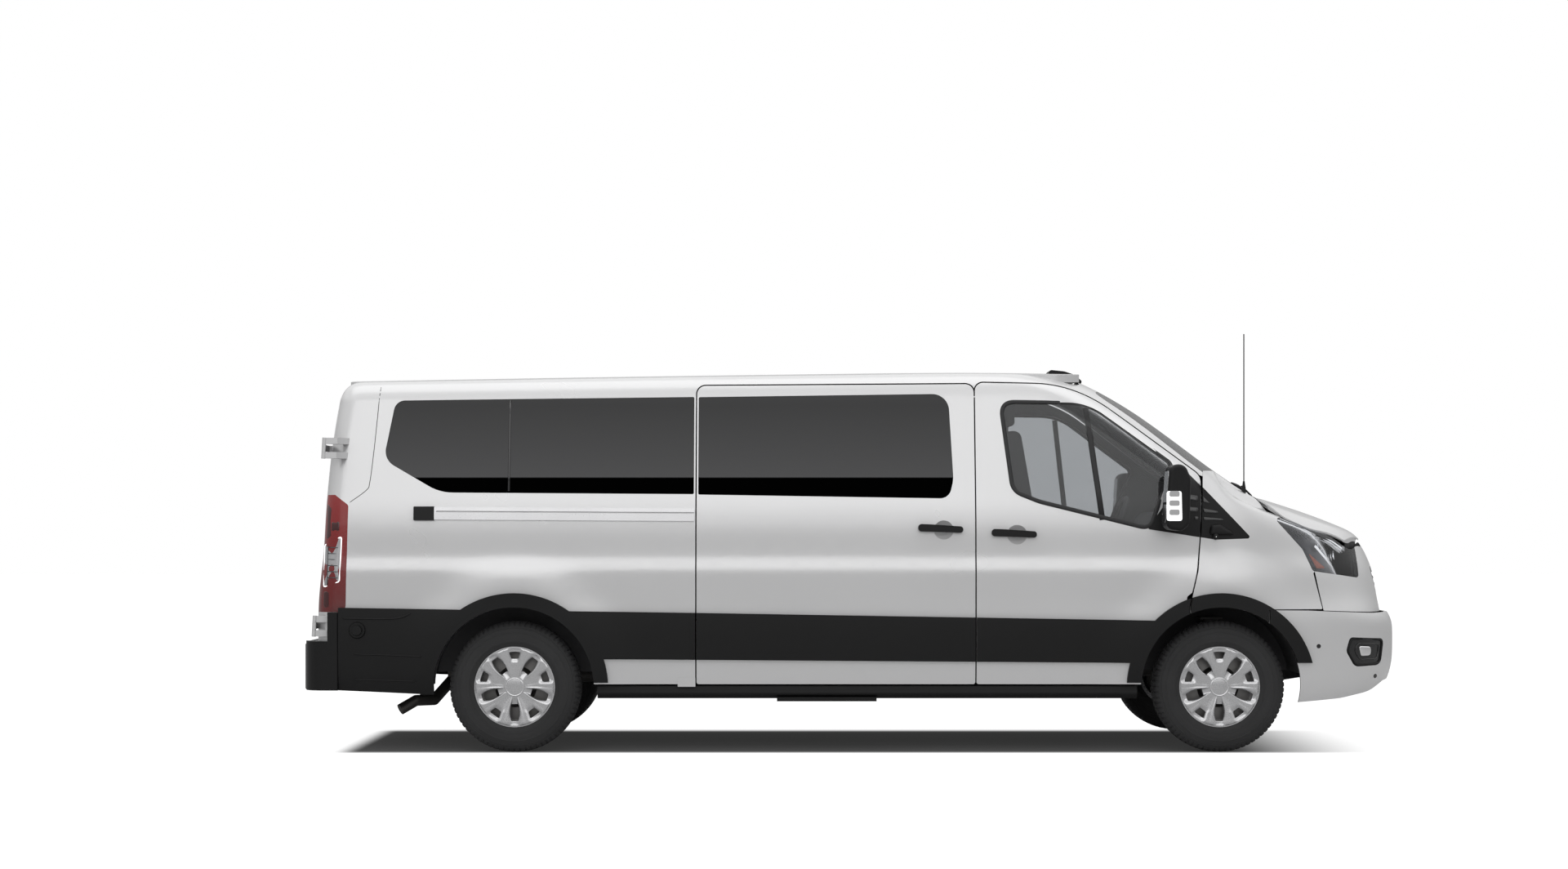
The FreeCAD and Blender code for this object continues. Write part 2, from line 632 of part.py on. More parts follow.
def make_slider(wall):
    door = wall.common(prism_y(slider_outline(), -1200, -600)).cut(prism_y(slider_glass_outline()))
    door = door.cut(arch(REAR_AXLE_X, ARCH_RADIUS)).cut(hand_recess(SLIDER_HANDLE))
    foot = box(SLIDER_REAR_X + 60, DOOR_REAR_X - 60, -945, -FLOOR_HALF_WIDTH, FLOOR_TOP - FLOOR_WALL,
               FLOOR_TOP - 10)
    return fuse([door, foot])


def make_rear_door(wall):
    rear = wall.common(box(-3100, -2500, -900, 0, REAR_DOOR_BOTTOM - 60, REAR_DOOR_TOP + 60))
    door = rear.common(prism_x(rear_door_outline(), -3100, -2500))
    door = door.cut(prism_x(rear_glass_outline(), -3100, -2500)).cut(rear_door_bevel())
    low, high = rear_hinge_points()
    parts = [door]
    for point in (low, high):
        along = high.sub(low).normalize()
        parts.append(cylinder(point, point.add(along * 40), 11))
        z0, z1 = point.z + 3, point.z + 37
        face_x = rear_face_x(z0)
        edge = rear_door_edge_y(z1) - 2
        parts.append(box(face_x - 10, face_x + 20, -edge, -edge + 90, z0, z1))
        parts.append(prism_z([(point.x - 4, -REAR_HINGE_Y, 1), (point.x + 4, -REAR_HINGE_Y, 1),
                              (face_x - 2, -edge, 1), (face_x - 10, -edge, 1)], z0, z1))
    return fuse(parts)


def rear_door_bevel():
    """Slopes the door's top edge down to the inside, because it rises as the leaning hinge line turns it."""
    hx = HALF_LENGTH
    return prism_y([(-hx + 190, REAR_DOOR_TOP - 3, 1), (-hx + 240, REAR_DOOR_TOP - 8, 1),
                    (-hx + 330, REAR_DOOR_TOP - 27, 1), (-hx + 330, REAR_DOOR_TOP - 75, 1),
                    (-hx + 600, REAR_DOOR_TOP - 75, 1), (-hx + 600, REAR_DOOR_TOP + 60, 1),
                    (-hx + 190, REAR_DOOR_TOP + 60, 1)], -1000, 0)


def rear_door_edge_y(z):
    """Distance of the rear door's outer edge from the middle plane."""
    bend = 1400.0
    return REAR_DOOR_EDGE_Y - max(0.0, z - bend) * 90 / (REAR_DOOR_TOP - 12 - bend)


def rear_face_x(z):
    return -HALF_LENGTH + value_at(REAR_CORNER, z) - 4


def rear_hinge_points():
    (x0, z0), (x1, z1) = REAR_HINGE_LOW, REAR_HINGE_HIGH
    return Vec(x0, -REAR_HINGE_Y, z0), Vec(x1, -REAR_HINGE_Y, z1)


def rear_hinge_brackets():
    """Fixed half of each outside rear hinge, below and above the door's barrel."""
    low, high = rear_hinge_points()
    along = high.sub(low).normalize()
    parts = []
    for point in (low, high):
        for a, b in ((-36, -SEAT_GAP), (40 + SEAT_GAP, 76)):
            p, q = point.add(along * a), point.add(along * b)
            parts.append(cylinder(p, q, 11))
            wall_y = value_at(HALF_WIDTH, p.z) - 46
            parts.append(prism_z([(p.x - 4, -REAR_HINGE_Y - 4, 1), (p.x + 70, -REAR_HINGE_Y - 4, 1),
                                  (p.x + 130, -wall_y - 10, 1), (p.x + 110, -wall_y, 1)], p.z + 1, q.z - 1))
    return parts


def make_fender(nose):
    fender = nose.common(prism_y(fender_outline(), -1200, 0))
    fender = fender.cut(arch(FRONT_AXLE_X, ARCH_RADIUS))
    fender = fender.cut(prism_y(headlamp_outline(), -1200, 0)).cut(prism_y(sail_outline(), -1200, 0))
    fender = fender.cut(prism_x(screen_outline(), 900, 2600))
    z = 1060.0
    skin_y = value_at(HALF_WIDTH, z) - FENDER_WALL / 2
    bracket = box(FRONT_AXLE_X + 26, FRONT_AXLE_X + 46, -skin_y, -PILLAR_Y - SEAT_GAP, z, z + 40)
    return fuse([fender, bracket])


def make_fascia(nose):
    """Painted panel round the grille, between the bumper, the headlamps and the bonnet."""
    panel = nose.common(prism_y(fascia_outline(), -1200, 0))
    panel = panel.cut(prism_y(headlamp_outline(), -1200, 0))
    return panel.cut(prism_x(grille_outline(), 2000, 3200))


def make_sail(nose):
    """Black corner trim in front of the door, below the windscreen pillar."""
    sail = nose.common(prism_y(sail_outline(), -1200, 0))
    return sail.cut(prism_y(grow(front_door_outline(), SHUT_GAP), -1200, -600))


def nose_top_z(x, y):
    """Height of the bonnet with its rounded edges, from the distance to the nose's plan outline."""
    base = bonnet_z(x, y)
    level = base - NOSE_SHOULDER
    start = FRONT_AXLE_X - 17.5
    half = value_at(HALF_WIDTH, level)
    reach = HALF_LENGTH - value_at(NOSE_LINE, level) - start
    power = value_at(NOSE_SQUARE, level)
    a, b = max(0.0, x - start) / reach, abs(y) / half
    size = (a**power + b**power) ** (1 / power)
    slope = size**(1 - power) * math.hypot(a**(power - 1) / reach, b**(power - 1) / half)
    inside = max(0.0, (1 - size) / slope)
    if inside >= NOSE_SHOULDER:
        return base
    return base - NOSE_SHOULDER + math.sqrt(NOSE_SHOULDER**2 - (NOSE_SHOULDER - inside) ** 2)


def bonnet_point(u, v, depth):
    """u runs -1 to 1 across the bonnet, v 0 to 1 from the screen to the nose."""
    hx = HALF_LENGTH
    front = hx - 110 - 260 * abs(u) ** 2.6
    rear = hx - 640 - 260 * abs(u) ** 1.6
    x = rear + (front - rear) * v
    half = value_at([(2100, 850), (2275, 945), (2465, 905), (2720, 800), (2860, 700)], x)
    y = half * u
    return Vec(x, y, nose_top_z(x, y) - depth)


def make_bonnet():
    us = [-1 + i / 10 for i in range(21)]
    vs = [0, .1, .2, .3, .4, .5, .6, .7, .8, .86, .92, .96, 1]
    sheet = slab(bonnet_point, us, vs, BONNET_RIM).common(prism_z(bonnet_outline(), 900, 1600))
    frame = slab(bonnet_point, us, vs, BONNET_WALL, 1 - BONNET_RIM)
    return fuse([sheet, frame.common(prism_z(grow(bonnet_outline(), -18), 900, 1600))])


def make_front_bumper(bumper):
    fx, hx = FRONT_AXLE_X, HALF_LENGTH
    side = [(fx + 380, 266, 5), (hx - 374, 287, 300), (hx - 199, 321, 200), (hx - 110, 375, 60),
            (hx + 60, 392, 5),
            (hx + 60, 742, 5), (hx - 192, 741, 80), (hx - 560, 757, 5), (fx + 260, 759, 5)]
    shape = bumper.common(prism_y(side, -1200, 0)).cut(arch(fx, ARCH_RADIUS))
    shape = shape.cut(prism_y(fog_outline(), -1200, -560))
    return shape.cut(prism_x(intake_outline(), 2000, 3200))


def intake_outline():
    """Lower air intake seen from the front, as (y, z)."""
    return [(-480, 430, 40), (480, 430, 40), (540, 590, 40), (-540, 590, 40)]


def fog_outline():
    hx = HALF_LENGTH
    return [(hx - 328, 614, 22), (hx - 122, 604, 22), (hx - 140, 462, 40), (hx - 300, 456, 40),
            (hx - 350, 540, 40)]


def moulding_rings():
    rings = [arch(axle, MOULDING_RADIUS).cut(arch(axle, ARCH_RADIUS))
             for axle in (FRONT_AXLE_X, REAR_AXLE_X)]
    keep = box(-3000, 3000, -1200, -500, 375, 900)
    low = box(-3000, REAR_AXLE_X, -1200, -500, 311, 900)
    return rings[0].common(keep), rings[1].common(fuse([keep, low]))


def band_outline():
    """Black band along the doors and sides, between the wheel arches."""
    return [(REAR_AXLE_X - 934, 333, 5), (REAR_AXLE_X - 424, 311, 5), (REAR_AXLE_X - 300, 600, 5),
            (REAR_AXLE_X + 440, 500, 40), (FRONT_AXLE_X - 440, 480, 40), (FRONT_AXLE_X - 300, 704, 5),
            (SLIDER_REAR_X, 745, 400), (REAR_AXLE_X - 934, 772, 5)]


def make_cladding(proud_wall, proud_nose, proud_bumper):
    """Proud band and arch mouldings, split at the doors."""
    seam = 760.0
    foot = 480.0
    bumper_side = proud_bumper.common(box(FRONT_AXLE_X + 256, 2600, -1200, 0, foot, seam))
    bumper_side = bumper_side.common(moulding_rings()[0])
    front_ring, rear_ring = moulding_rings()
    band = prism_y(band_outline(), -1200, -700).cut(arch(REAR_AXLE_X, MOULDING_RADIUS))
    band = band.cut(arch(FRONT_AXLE_X, MOULDING_RADIUS))
    profile = fuse([band, front_ring, rear_ring])
    strip = proud_wall.common(profile)
    door = strip.common(prism_y(grow(front_door_outline(), -1), -1200, -600)).cut(edge_relief())
    slider = strip.common(prism_y(grow(slider_outline(), -1), -1200, -600))
    slider = slider.cut(arch(REAR_AXLE_X, MOULDING_RADIUS - 1))
    doors_cut = prism_y(grow(front_door_outline(), SHUT_GAP), -1200, -600)
    side = strip.cut(doors_cut).cut(prism_y(grow(slider_outline(), SHUT_GAP), -1200, -600))
    side = side.cut(box(FRONT_AXLE_X - 280, 3000, -1200, 0, 0, 1200))
    fender_side = proud_nose.common(front_ring).cut(doors_cut)
    fender_side = fender_side.cut(box(0, FRONT_AXLE_X - 165, -1200, 0, 0, 1200))
    fender_side = fender_side.cut(box(FRONT_AXLE_X + 250, 3000, -1200, 0, 0, seam))
    side = side.cut(box(-3100, REAR_SEAM_X + 1, -1200, 0, 300, 1000))
    return door, slider, fuse([side] + hold_stop()), fender_side, bumper_side


def hold_stop():
    """Round rubber stop that the open rear door comes to rest against."""
    x, y, z = REAR_AXLE_X - 830, -1008.0, 653.0
    outward = Vec(0, -1, 0)
    foot = Part.makeCone(48, 40, 18, Vec(x, y, z), outward)
    knob = Part.makeCone(30, 25, 34, Vec(x, y, z), outward)
    return [foot, knob]


def make_sill():
    """Black sill under the doors, hung from the rocker rail between the wheel arches."""
    top = ROCKER_BOTTOM - SEAT_GAP
    profile = [(-850, top, 2), (-912, top, 2), (-914, 359, 2), (-966, 358, 8), (-972, 312, 20),
               (-950, 288, 20),
               (-862, 292, 6)]
    return prism_x(profile, REAR_AXLE_X + 440, FRONT_AXLE_X - 440)


def make_side_step():
    """Low step under the sliding door."""
    return box(REAR_AXLE_X + 1395, REAR_AXLE_X + 1925, -978, -870, 274, 296)


def make_rear_bumper():
    """Wrap-round bumper with a step under the rear doors, notched for the lower hinges."""
    hx = HALF_LENGTH
    plan = [(REAR_SEAM_X, -1013, 10), (-hx + 112, -1006, 110), (-hx + 60, -760, 400), (-hx, -260, 1200)]
    plan = plan + [(x, -y, r) for x, y, r in reversed(plan)]
    inner = [(REAR_SEAM_X + 1, -990, 1), (-hx + 140, -990, 113), (-hx + 103, -560, 1500),
             (-hx + 94, -200, 2000)]
    inner = inner + [(x, -y, r) for x, y, r in reversed(inner)]
    low = 333.0
    half_step = REAR_DOOR_EDGE_Y + 5
    shell = prism_z(plan, low, REAR_BUMPER_TOP).cut(prism_z(inner, low + 30, REAR_BUMPER_TOP + 10))
    shell = shell.cut(box(-3200, -2600, -half_step - 9, half_step + 9, STEP_TOP, 900))
    step = prism_z(plan, STEP_TOP - STEP_WALL, STEP_TOP)
    step = step.common(box(-3200, -2600, -half_step, half_step, 300, 900))
    shape = fuse([shell, step])
    low_point = rear_hinge_points()[0]
    notch = box(-3100, low_point.x + 76, -1100, -half_step, low_point.z - 60, low_point.z + 95)
    return shape.cut(notch).cut(flip(notch))


# Wheels

def ring_y(profile, x, y, z):
    """Turns a closed (radius, y) profile about a wheel's axle line."""
    points = [Vec(x + r, y + w, z) for r, w in profile]
    face = Part.Face(Part.makePolygon(points + [points[0]]))
    return face.revolve(Vec(x, y, z), Vec(0, 1, 0), 360)


def make_tyre(x, track):
    half = TYRE_WIDTH / 2
    seat = RIM_WIDTH / 2
    profile = [(RIM_RADIUS, -seat + 12), (RIM_LIP_RADIUS + 2, -seat + 12), (RIM_LIP_RADIUS + 2, -seat - 4),
               (238, -half + 8), (272, -half), (310, -half + 6), (334, -half + 20), (346, -half + 38),
               (TYRE_RADIUS, -half + 62), (TYRE_RADIUS, half - 62), (346, half - 38), (334, half - 20),
               (310, half - 6), (272, half), (238, half - 8), (RIM_LIP_RADIUS + 2, seat + 4),
               (RIM_LIP_RADIUS + 2, seat - 12), (RIM_RADIUS, seat - 12)]
    return ring_y(profile, x, -track / 2, WHEEL_HEIGHT)


def make_wheel(x, track):
    """Rim, hub face, brake disc and the ten-pocket cover, outer side towards -Y."""
    y = -track / 2
    seat = RIM_WIDTH / 2
    inner = RIM_RADIUS - RIM_WALL
    bore = SPINDLE_RADIUS + SPINDLE_CLEARANCE
    rim = ring_y([(inner, -seat), (RIM_LIP_RADIUS, -seat), (RIM_LIP_RADIUS, -seat + 12),
                  (RIM_RADIUS, -seat + 12),
                  (RIM_RADIUS, seat - 12), (RIM_LIP_RADIUS, seat - 12), (RIM_LIP_RADIUS, seat),
                  (inner, seat)],
                 x, y, WHEEL_HEIGHT)
    face = ring_y([(bore, -8), (HUB_RADIUS, -8), (HUB_RADIUS + 40, -30), (inner + 1, -30), (inner + 1, -22),
                   (HUB_RADIUS + 42, -22), (HUB_RADIUS, 0), (HUB_RADIUS, 42), (BRAKE_RADIUS, 42),
                   (BRAKE_RADIUS, 64),
                   (bore, 64)], x, y, WHEEL_HEIGHT)
    cover = ring_y([(0.01, -96), (46, -94), (47, -86), (120, -88), (170, -94), (205, -100),
                    (COVER_RADIUS, -98),
                    (COVER_RADIUS, -seat), (196, -seat), (170, -88), (120, -82), (46, -80), (0.01, -86)],
                   x, y, WHEEL_HEIGHT)
    pockets = []
    for i in range(10):
        angle = math.radians(90 + 36 * i)
        near, far, wide_in, wide_out = (150, 186, 15, 28) if i % 2 == 0 else (92, 180, 12, 25)
        corners = [(near, -wide_in), (near, wide_in), (far, wide_out), (far, -wide_out)]
        turned = [(x + a * math.cos(angle) - b * math.sin(angle),
                   WHEEL_HEIGHT + a * math.sin(angle) + b * math.cos(angle), 8) for a, b in corners]
        pockets.append(prism_y(turned, y - 130, y - 60))
    cover = cover.cut(Part.makeCompound(pockets))
    stem = cylinder(Vec(x, y - 84, WHEEL_HEIGHT), Vec(x, y - 30, WHEEL_HEIGHT), 40)
    cap = cylinder(Vec(x, y - 30, WHEEL_HEIGHT), Vec(x, y - 6, WHEEL_HEIGHT), 60)
    cap = cap.cut(cylinder(Vec(x, y - 24, WHEEL_HEIGHT), Vec(x, y, WHEEL_HEIGHT), bore))
    return fuse([rim, face, cover, stem, cap])


def make_knuckle():
    """Steered upright that carries a front wheel on its spindle."""
    x, y, z = FRONT_AXLE_X, -FRONT_TRACK / 2, WHEEL_HEIGHT
    spindle = cylinder(Vec(x, y - 20, z), Vec(x, y + 90, z), SPINDLE_RADIUS)
    flange = cylinder(Vec(x, y + 70, z), Vec(x, y + 95, z), 62)
    upright = box(x - 30, x + 30, y + 76, y + 112, z - 110, z + 160)
    joint = cylinder(Vec(x, -KINGPIN_Y, z - 118), Vec(x, -KINGPIN_Y, z - 80), KINGPIN_RADIUS)
    caliper = box(x - 166, x - 96, y + 30, y + 104, z - 60, z + 60)
    caliper = caliper.cut(box(x - 155, x - 60, y + 38, y + 68, z - 70, z + 70))
    bridge = box(x - 130, x - 20, y + 82, y + 100, z - 34, z + 34)
    arm = box(x - 165, x - 24, y + 98, y + 108, z - 56, z - 40)
    return fuse([spindle, flange, upright, joint, caliper, bridge, arm])


# Floor, chassis and running gear

def make_floor():
    """Floor pan with its wheel housings, rocker rails, front bulkhead and door pillars."""
    w = FLOOR_HALF_WIDTH
    z0, z1 = FLOOR_TOP - FLOOR_WALL, FLOOR_TOP
    rear = -HALF_LENGTH + 245
    plate = prism_z([(rear, -w, 100), (FRONT_AXLE_X - 460, -w, 1), (FRONT_AXLE_X - 460, w, 1),
                     (rear, w, 100)], z0, z1)
    toe = box(FRONT_AXLE_X - 460, FRONT_AXLE_X + 30, -540, 540, z0, z1)
    bulkhead = box(FRONT_AXLE_X + 10, FRONT_AXLE_X + 50, -880, 880, z0, SCUTTLE_TOP)
    scuttle = box(FRONT_AXLE_X + 30, FRONT_AXLE_X + 240, -700, 700, SCUTTLE_TOP - 28, SCUTTLE_TOP)
    parts = [plate, toe, scuttle]
    parts += [box(REAR_AXLE_X + 480, FRONT_AXLE_X - 480, s * w - 38 - s * 38, s * w + 38 - s * 38,
                  ROCKER_BOTTOM, z1)
              for s in (-1, 1)]
    floor = fuse(parts + [bulkhead])
    for side in (-1, 1):
        for axle, inner in ((REAR_AXLE_X, REAR_HOUSING_Y), (FRONT_AXLE_X, FRONT_HOUSING_Y)):
            y0, y1 = sorted((side * inner, side * w))
            hole = cylinder(Vec(axle, y0, WHEEL_HEIGHT), Vec(axle, y1, WHEEL_HEIGHT),
                            LINER_RADIUS + LINER_WALL)
            floor = floor.cut(hole)
    housings = []
    for axle, inner in ((REAR_AXLE_X, REAR_HOUSING_Y), (FRONT_AXLE_X, FRONT_HOUSING_Y)):
        outer = cylinder(Vec(axle, -w, WHEEL_HEIGHT), Vec(axle, -inner + LINER_WALL, WHEEL_HEIGHT),
                         LINER_RADIUS + LINER_WALL)
        hollow = cylinder(Vec(axle, -w - 1, WHEEL_HEIGHT), Vec(axle, -inner, WHEEL_HEIGHT), LINER_RADIUS)
        house = outer.cut(hollow).common(box(-3000, 3000, -1000, 0, 420, 1000))
        housings += [house, flip(house)]
    posts = make_hinge_posts()
    return fuse([floor] + housings + [posts, flip(posts)])


def rail(x0, x1, y, z0, height=RAIL_HEIGHT):
    """Open channel section running along the vehicle."""
    outer = box(x0, x1, y - RAIL_WIDTH / 2, y + RAIL_WIDTH / 2, z0, z0 + height)
    side = 1 if y < 0 else -1
    a, b = sorted((y - side * (RAIL_WIDTH / 2 - RAIL_WALL), y + side * (RAIL_WIDTH / 2 + 1)))
    return outer.cut(box(x0 - 1, x1 + 1, a, b, z0 + RAIL_WALL, z0 + height - RAIL_WALL))


def make_chassis(beam):
    """Channel rails with cross members, front cradle, bumper beam and the bonnet's slam panel."""
    fx = FRONT_AXLE_X
    top = FLOOR_TOP - FLOOR_WALL
    z0 = top - RAIL_HEIGHT
    parts = [beam, flip(beam)]
    for side in (-1, 1):
        parts.append(rail(REAR_SEAM_X + SEAT_GAP, fx + 960, side * RAIL_Y, z0))
    inner = RAIL_Y + RAIL_WIDTH / 2 - RAIL_WALL
    for x in (REAR_SEAM_X + 10, REAR_AXLE_X + 620, -345, 560, fx - 600, fx + 620):
        parts.append(box(x, x + 70, -inner, inner, z0 + 15, z0 + 95))
    parts.append(box(fx - 160, fx + 160, -400, 400, 228, 268))
    parts += [box(fx + dx, fx + dx + 50, s * 465 - 32, s * 465 + 32, 228, z0)
              for dx in (-150, 100) for s in (-1, 1)]
    parts += [box(fx + dx, fx + dx + 50, -450, 450, 228, 268) for dx in (-150, 100)]
    slam_z = 1085.0
    parts.append(box(fx + 730, fx + 790, -505, 505, slam_z - 30, slam_z))
    parts += [box(fx + 735, fx + 785, s * 485 - 20, s * 485 + 20, top - 10, slam_z - 10) for s in (-1, 1)]
    buffer_x, buffer_y = fx + 760, 420.0
    lowest = nose_top_z(buffer_x + BUFFER_RADIUS, buffer_y + BUFFER_RADIUS / 2)
    buffer_top = lowest - BONNET_WALL - BUFFER_GAP
    parts += [cylinder(Vec(buffer_x, s * buffer_y, slam_z - 10), Vec(buffer_x, s * buffer_y, buffer_top),
                       BUFFER_RADIUS)
              for s in (-1, 1)]
    return fuse(parts)


def make_front_suspension():
    """Lower arms, struts and steering rack."""
    parts = []
    fx = FRONT_AXLE_X
    for side in (-1, 1):
        arm = prism_z([(fx - 140, side * 497, 10), (fx + 140, side * 497, 10), (fx + 26, side * 640, 40),
                       (fx + 13, side * 788, 8), (fx - 13, side * 788, 8),
                       (fx - 26, side * 640, 40)], 206, 231.7)
        strut = cylinder(Vec(fx, side * 640, 470), Vec(fx, side * 625, 700), 42)
        rod = cylinder(Vec(fx, side * 644, 300), Vec(fx, side * 640, 470), 14)
        near, far = sorted((side * (FRONT_HOUSING_Y + SEAT_GAP), side * 675))
        shelf = box(fx - 60, fx + 60, near, far, 700, 712)
        pick = box(fx - 16, fx + 16, side * 644 - 16, side * 644 + 16, 215, 310)
        parts.append(fuse([arm, pick, rod, strut, shelf]))
    return Part.makeCompound(parts)


def make_rear_axle():
    """Beam axle with its final drive, stub shafts, leaf springs and propeller shaft."""
    x, z = REAR_AXLE_X, WHEEL_HEIGHT
    half = REAR_TRACK / 2
    tube = cylinder(Vec(x, -half + 70, z), Vec(x, half - 70, z), 44)
    stubs = cylinder(Vec(x, -half + 20, z), Vec(x, half - 20, z), SPINDLE_RADIUS)
    flanges = [cylinder(Vec(x, s * (half - 70), z), Vec(x, s * (half - 96), z), 80) for s in (-1, 1)]
    pumpkin = Part.makeSphere(165, Vec(x, 0, z)).common(box(x - 140, x + 150, -130, 130, z - 150, z + 150))
    nose = cylinder(Vec(x + 100, 0, z), Vec(x + 260, 0, z + 12), 55)
    shaft = cylinder(Vec(x + 240, 0, z + 12), Vec(GEARBOX_REAR_X - SHAFT_GAP, 0, GEARBOX_Z), 38)
    shaft = shaft.common(box(x, GEARBOX_REAR_X - SHAFT_GAP, -60, 60, 200, 600))
    springs = []
    for side in (-1, 1):
        y = side * 600
        eye = 655.0
        sag = z + 66
        arc = Part.Arc(Vec(x - eye, y - 35, sag + 90), Vec(x, y - 35, sag),
                       Vec(x + eye, y - 35, sag + 90)).toShape()
        leaf = arc.extrude(Vec(0, 70, 0)).extrude(Vec(0, 0, 16))
        pad = box(x - 70, x + 70, y - 40, y + 40, z + 30, sag + 6)
        eyes = [cylinder(Vec(x + d * eye, y - 35, sag + 98), Vec(x + d * eye, y + 35, sag + 98), 26)
                for d in (-1, 1)]
        hangers = [box(x + d * eye - 24, x + d * eye + 24, min(side * 505, y), max(side * 505, y), sag + 98,
                       600)
                   for d in (-1, 1)]
        springs += [leaf, pad] + eyes + hangers
    return fuse([tube, stubs, pumpkin, nose, shaft] + flanges + springs)


def make_engine():
    """Engine and gearbox as one plain block at its real place and size."""
    fx = FRONT_AXLE_X
    block = box(fx + 70, fx + 560, -230, 230, 480, 1010)
    gearbox = cylinder(Vec(GEARBOX_REAR_X, 0, GEARBOX_Z), Vec(fx + 100, 0, GEARBOX_Z), 115)
    reach = RAIL_Y + RAIL_WIDTH / 2 - RAIL_WALL - SEAT_GAP
    mounts = box(fx + 230, fx + 320, -reach, reach, 560, 600)
    return fuse([block, gearbox, mounts])


def make_tank():
    top = FLOOR_TOP - FLOOR_WALL
    tank = box(-250, 480, 60, 420, 345, top)
    return tank.makeFillet(45, [e for e in tank.Edges if abs(e.Vertexes[0].Z - e.Vertexes[-1].Z) < 1
                                and e.BoundBox.ZMax < 400])


def tube_path(points, radius):
    """Bent pipe: straight runs with a round bend at each inner point."""
    parts = []
    for a, b in zip(points, points[1:]):
        parts.append(cylinder(a, b, radius))
    for p in points[1:-1]:
        parts.append(Part.makeSphere(radius, p))
    return fuse(parts)


def make_exhaust():
    """Silencer and pipe that leaves behind the right rear wheel."""
    pts = [Vec(1100, -330, 420), Vec(300, -330, 420), Vec(-900, -330, 430), Vec(-1350, -340, 470),
           Vec(REAR_AXLE_X, -350, 480), Vec(REAR_AXLE_X - 330, -370, 440), Vec(REAR_AXLE_X - 470, -620, 262),
           Vec(REAR_AXLE_X - 560, -690, 262), Vec(REAR_AXLE_X - 640, -730, 215)]
    pipe = tube_path(pts, 30)
    can = cylinder(Vec(-750, -330, 425), Vec(-50, -330, 421), 95)
    hanger = box(-460, -420, -345, -315, 500, FLOOR_TOP - FLOOR_WALL)
    tail = box(REAR_AXLE_X - 410, REAR_AXLE_X - 390, -505, -485, 345,
               FLOOR_TOP - FLOOR_WALL - RAIL_HEIGHT - SEAT_GAP)
    return fuse([pipe, can, hanger, tail])


# Lamps, mirrors, trim and inside

def make_headlamp(lamp_wall):
    return lamp_wall.common(prism_y(headlamp_outline(), -1200, 0))


def tail_lamp_prism():
    hx = HALF_LENGTH
    lamp = [(-hx + 60, 1372, 5), (-hx + 248, 1372, 5), (-hx + 322, 1317, 20), (-hx + 312, 770, 40),
            (-hx + 288, 748, 20), (-hx + 60, 748, 5)]
    return prism_y(lamp, -1200, -REAR_DOOR_EDGE_Y - 14)


def make_tail_lamp(wall):
    return wall.common(box(-3100, -2500, -1200, -800, 700, 1500)).common(tail_lamp_prism())


def make_grille(nose):
    """Grille frame across the nose with slats set into it."""
    plug = prism_x(grille_outline(), 2000, 3200)
    slats = []
    for i in range(5):
        z = 812 + 36 * i
        slats.append(box(2600, 3000, -600, 600, z, z + 14))
    frame = plug.cut(prism_x(grow(grille_outline(), -22), 1990, 3210))
    half = nose.common(plug).common(fuse([frame] + slats))
    return fuse([half, flip(half)])


def make_bumper_inserts(insert):
    """Black panels in the bumper's openings: slats in the lower intake and a lamp panel on each side."""
    plug = prism_x(grow(intake_outline(), -SEAT_GAP), 2000, 3200)
    frame = plug.cut(prism_x(grow(intake_outline(), -18), 1990, 3210))
    slats = [box(2600, 3000, -600, 600, z, z + 12) for z in (468, 504, 540)]
    half = insert.common(plug).common(fuse([frame] + slats))
    lamp_panel = insert.common(prism_y(grow(fog_outline(), -SEAT_GAP), -1200, -560))
    lamp_panel = lamp_panel.cut(prism_x([(-760, 500, 36), (-690, 500, 36), (-690, 572, 36), (-760, 572, 36)],
                                        2000, 3200))
    return [fuse([half, flip(half)]), lamp_panel, flip(lamp_panel)]


def make_windscreen():
    right = slab(cabin_point, CABIN_U, CABIN_V, 12, 0).common(box(900, 3000, -1000, 0, 1300, 2100))
    pane_half = right.common(prism_x(screen_outline(), 900, 2600))
    return fuse([pane_half, flip(pane_half)])


def make_mirror(wall, door_sail):
    """Door mirror with its clear turn lamp, on an arm from the door's front corner."""
    fx = FRONT_AXLE_X
    shell = prism_y([(fx - 322, 1190, 40), (fx - 300, 1526, 50), (fx - 222, 1530, 50), (fx - 190, 1455, 60),
                     (fx - 196, 1215, 50), (fx - 236, 1178, 30)], -1237, -1030)
    shell = shell.makeFillet(18, [e for e in shell.Edges if e.BoundBox.YLength < 1])
    arm = prism_z([(fx - 290, -1060, 5), (fx - 290, -975, 5), (fx - 200, -975, 5), (fx - 210, -1060, 5)],
                  1196, 1226)
    foot_room = box(fx - 400, fx - 100, -1000, -940, 1150, 1280)
    return fuse([shell, arm]).cut(wall.common(foot_room)).cut(door_sail)


def make_slider_rail(proud_wall):
    """Bright double rail that the sliding door's roller runs along."""
    ax = REAR_AXLE_X
    start, end = ax - 427 + SEAT_GAP, SLIDER_REAR_X - 12
    rails = prism_y([(start, 1240, 1), (end, 1232, 4), (end, 1298, 4), (start, 1306, 1)], -1200, -600)
    slot = prism_y([(start + 12, 1279, 3), (end + 20, 1271, 3), (end + 20, 1279, 3), (start + 12, 1287, 3)],
                   -1200, -600)
    return proud_wall.common(rails.cut(slot))


def make_rail_end(proud_wall):
    """Black cap on the rear end of the sliding door's rail."""
    ax = REAR_AXLE_X
    return proud_wall.common(prism_y([(ax - 536, 1236, 4), (ax - 427, 1236, 1), (ax - 427, 1310, 1),
                                      (ax - 536, 1310, 4)],
                                     -1200, -600))


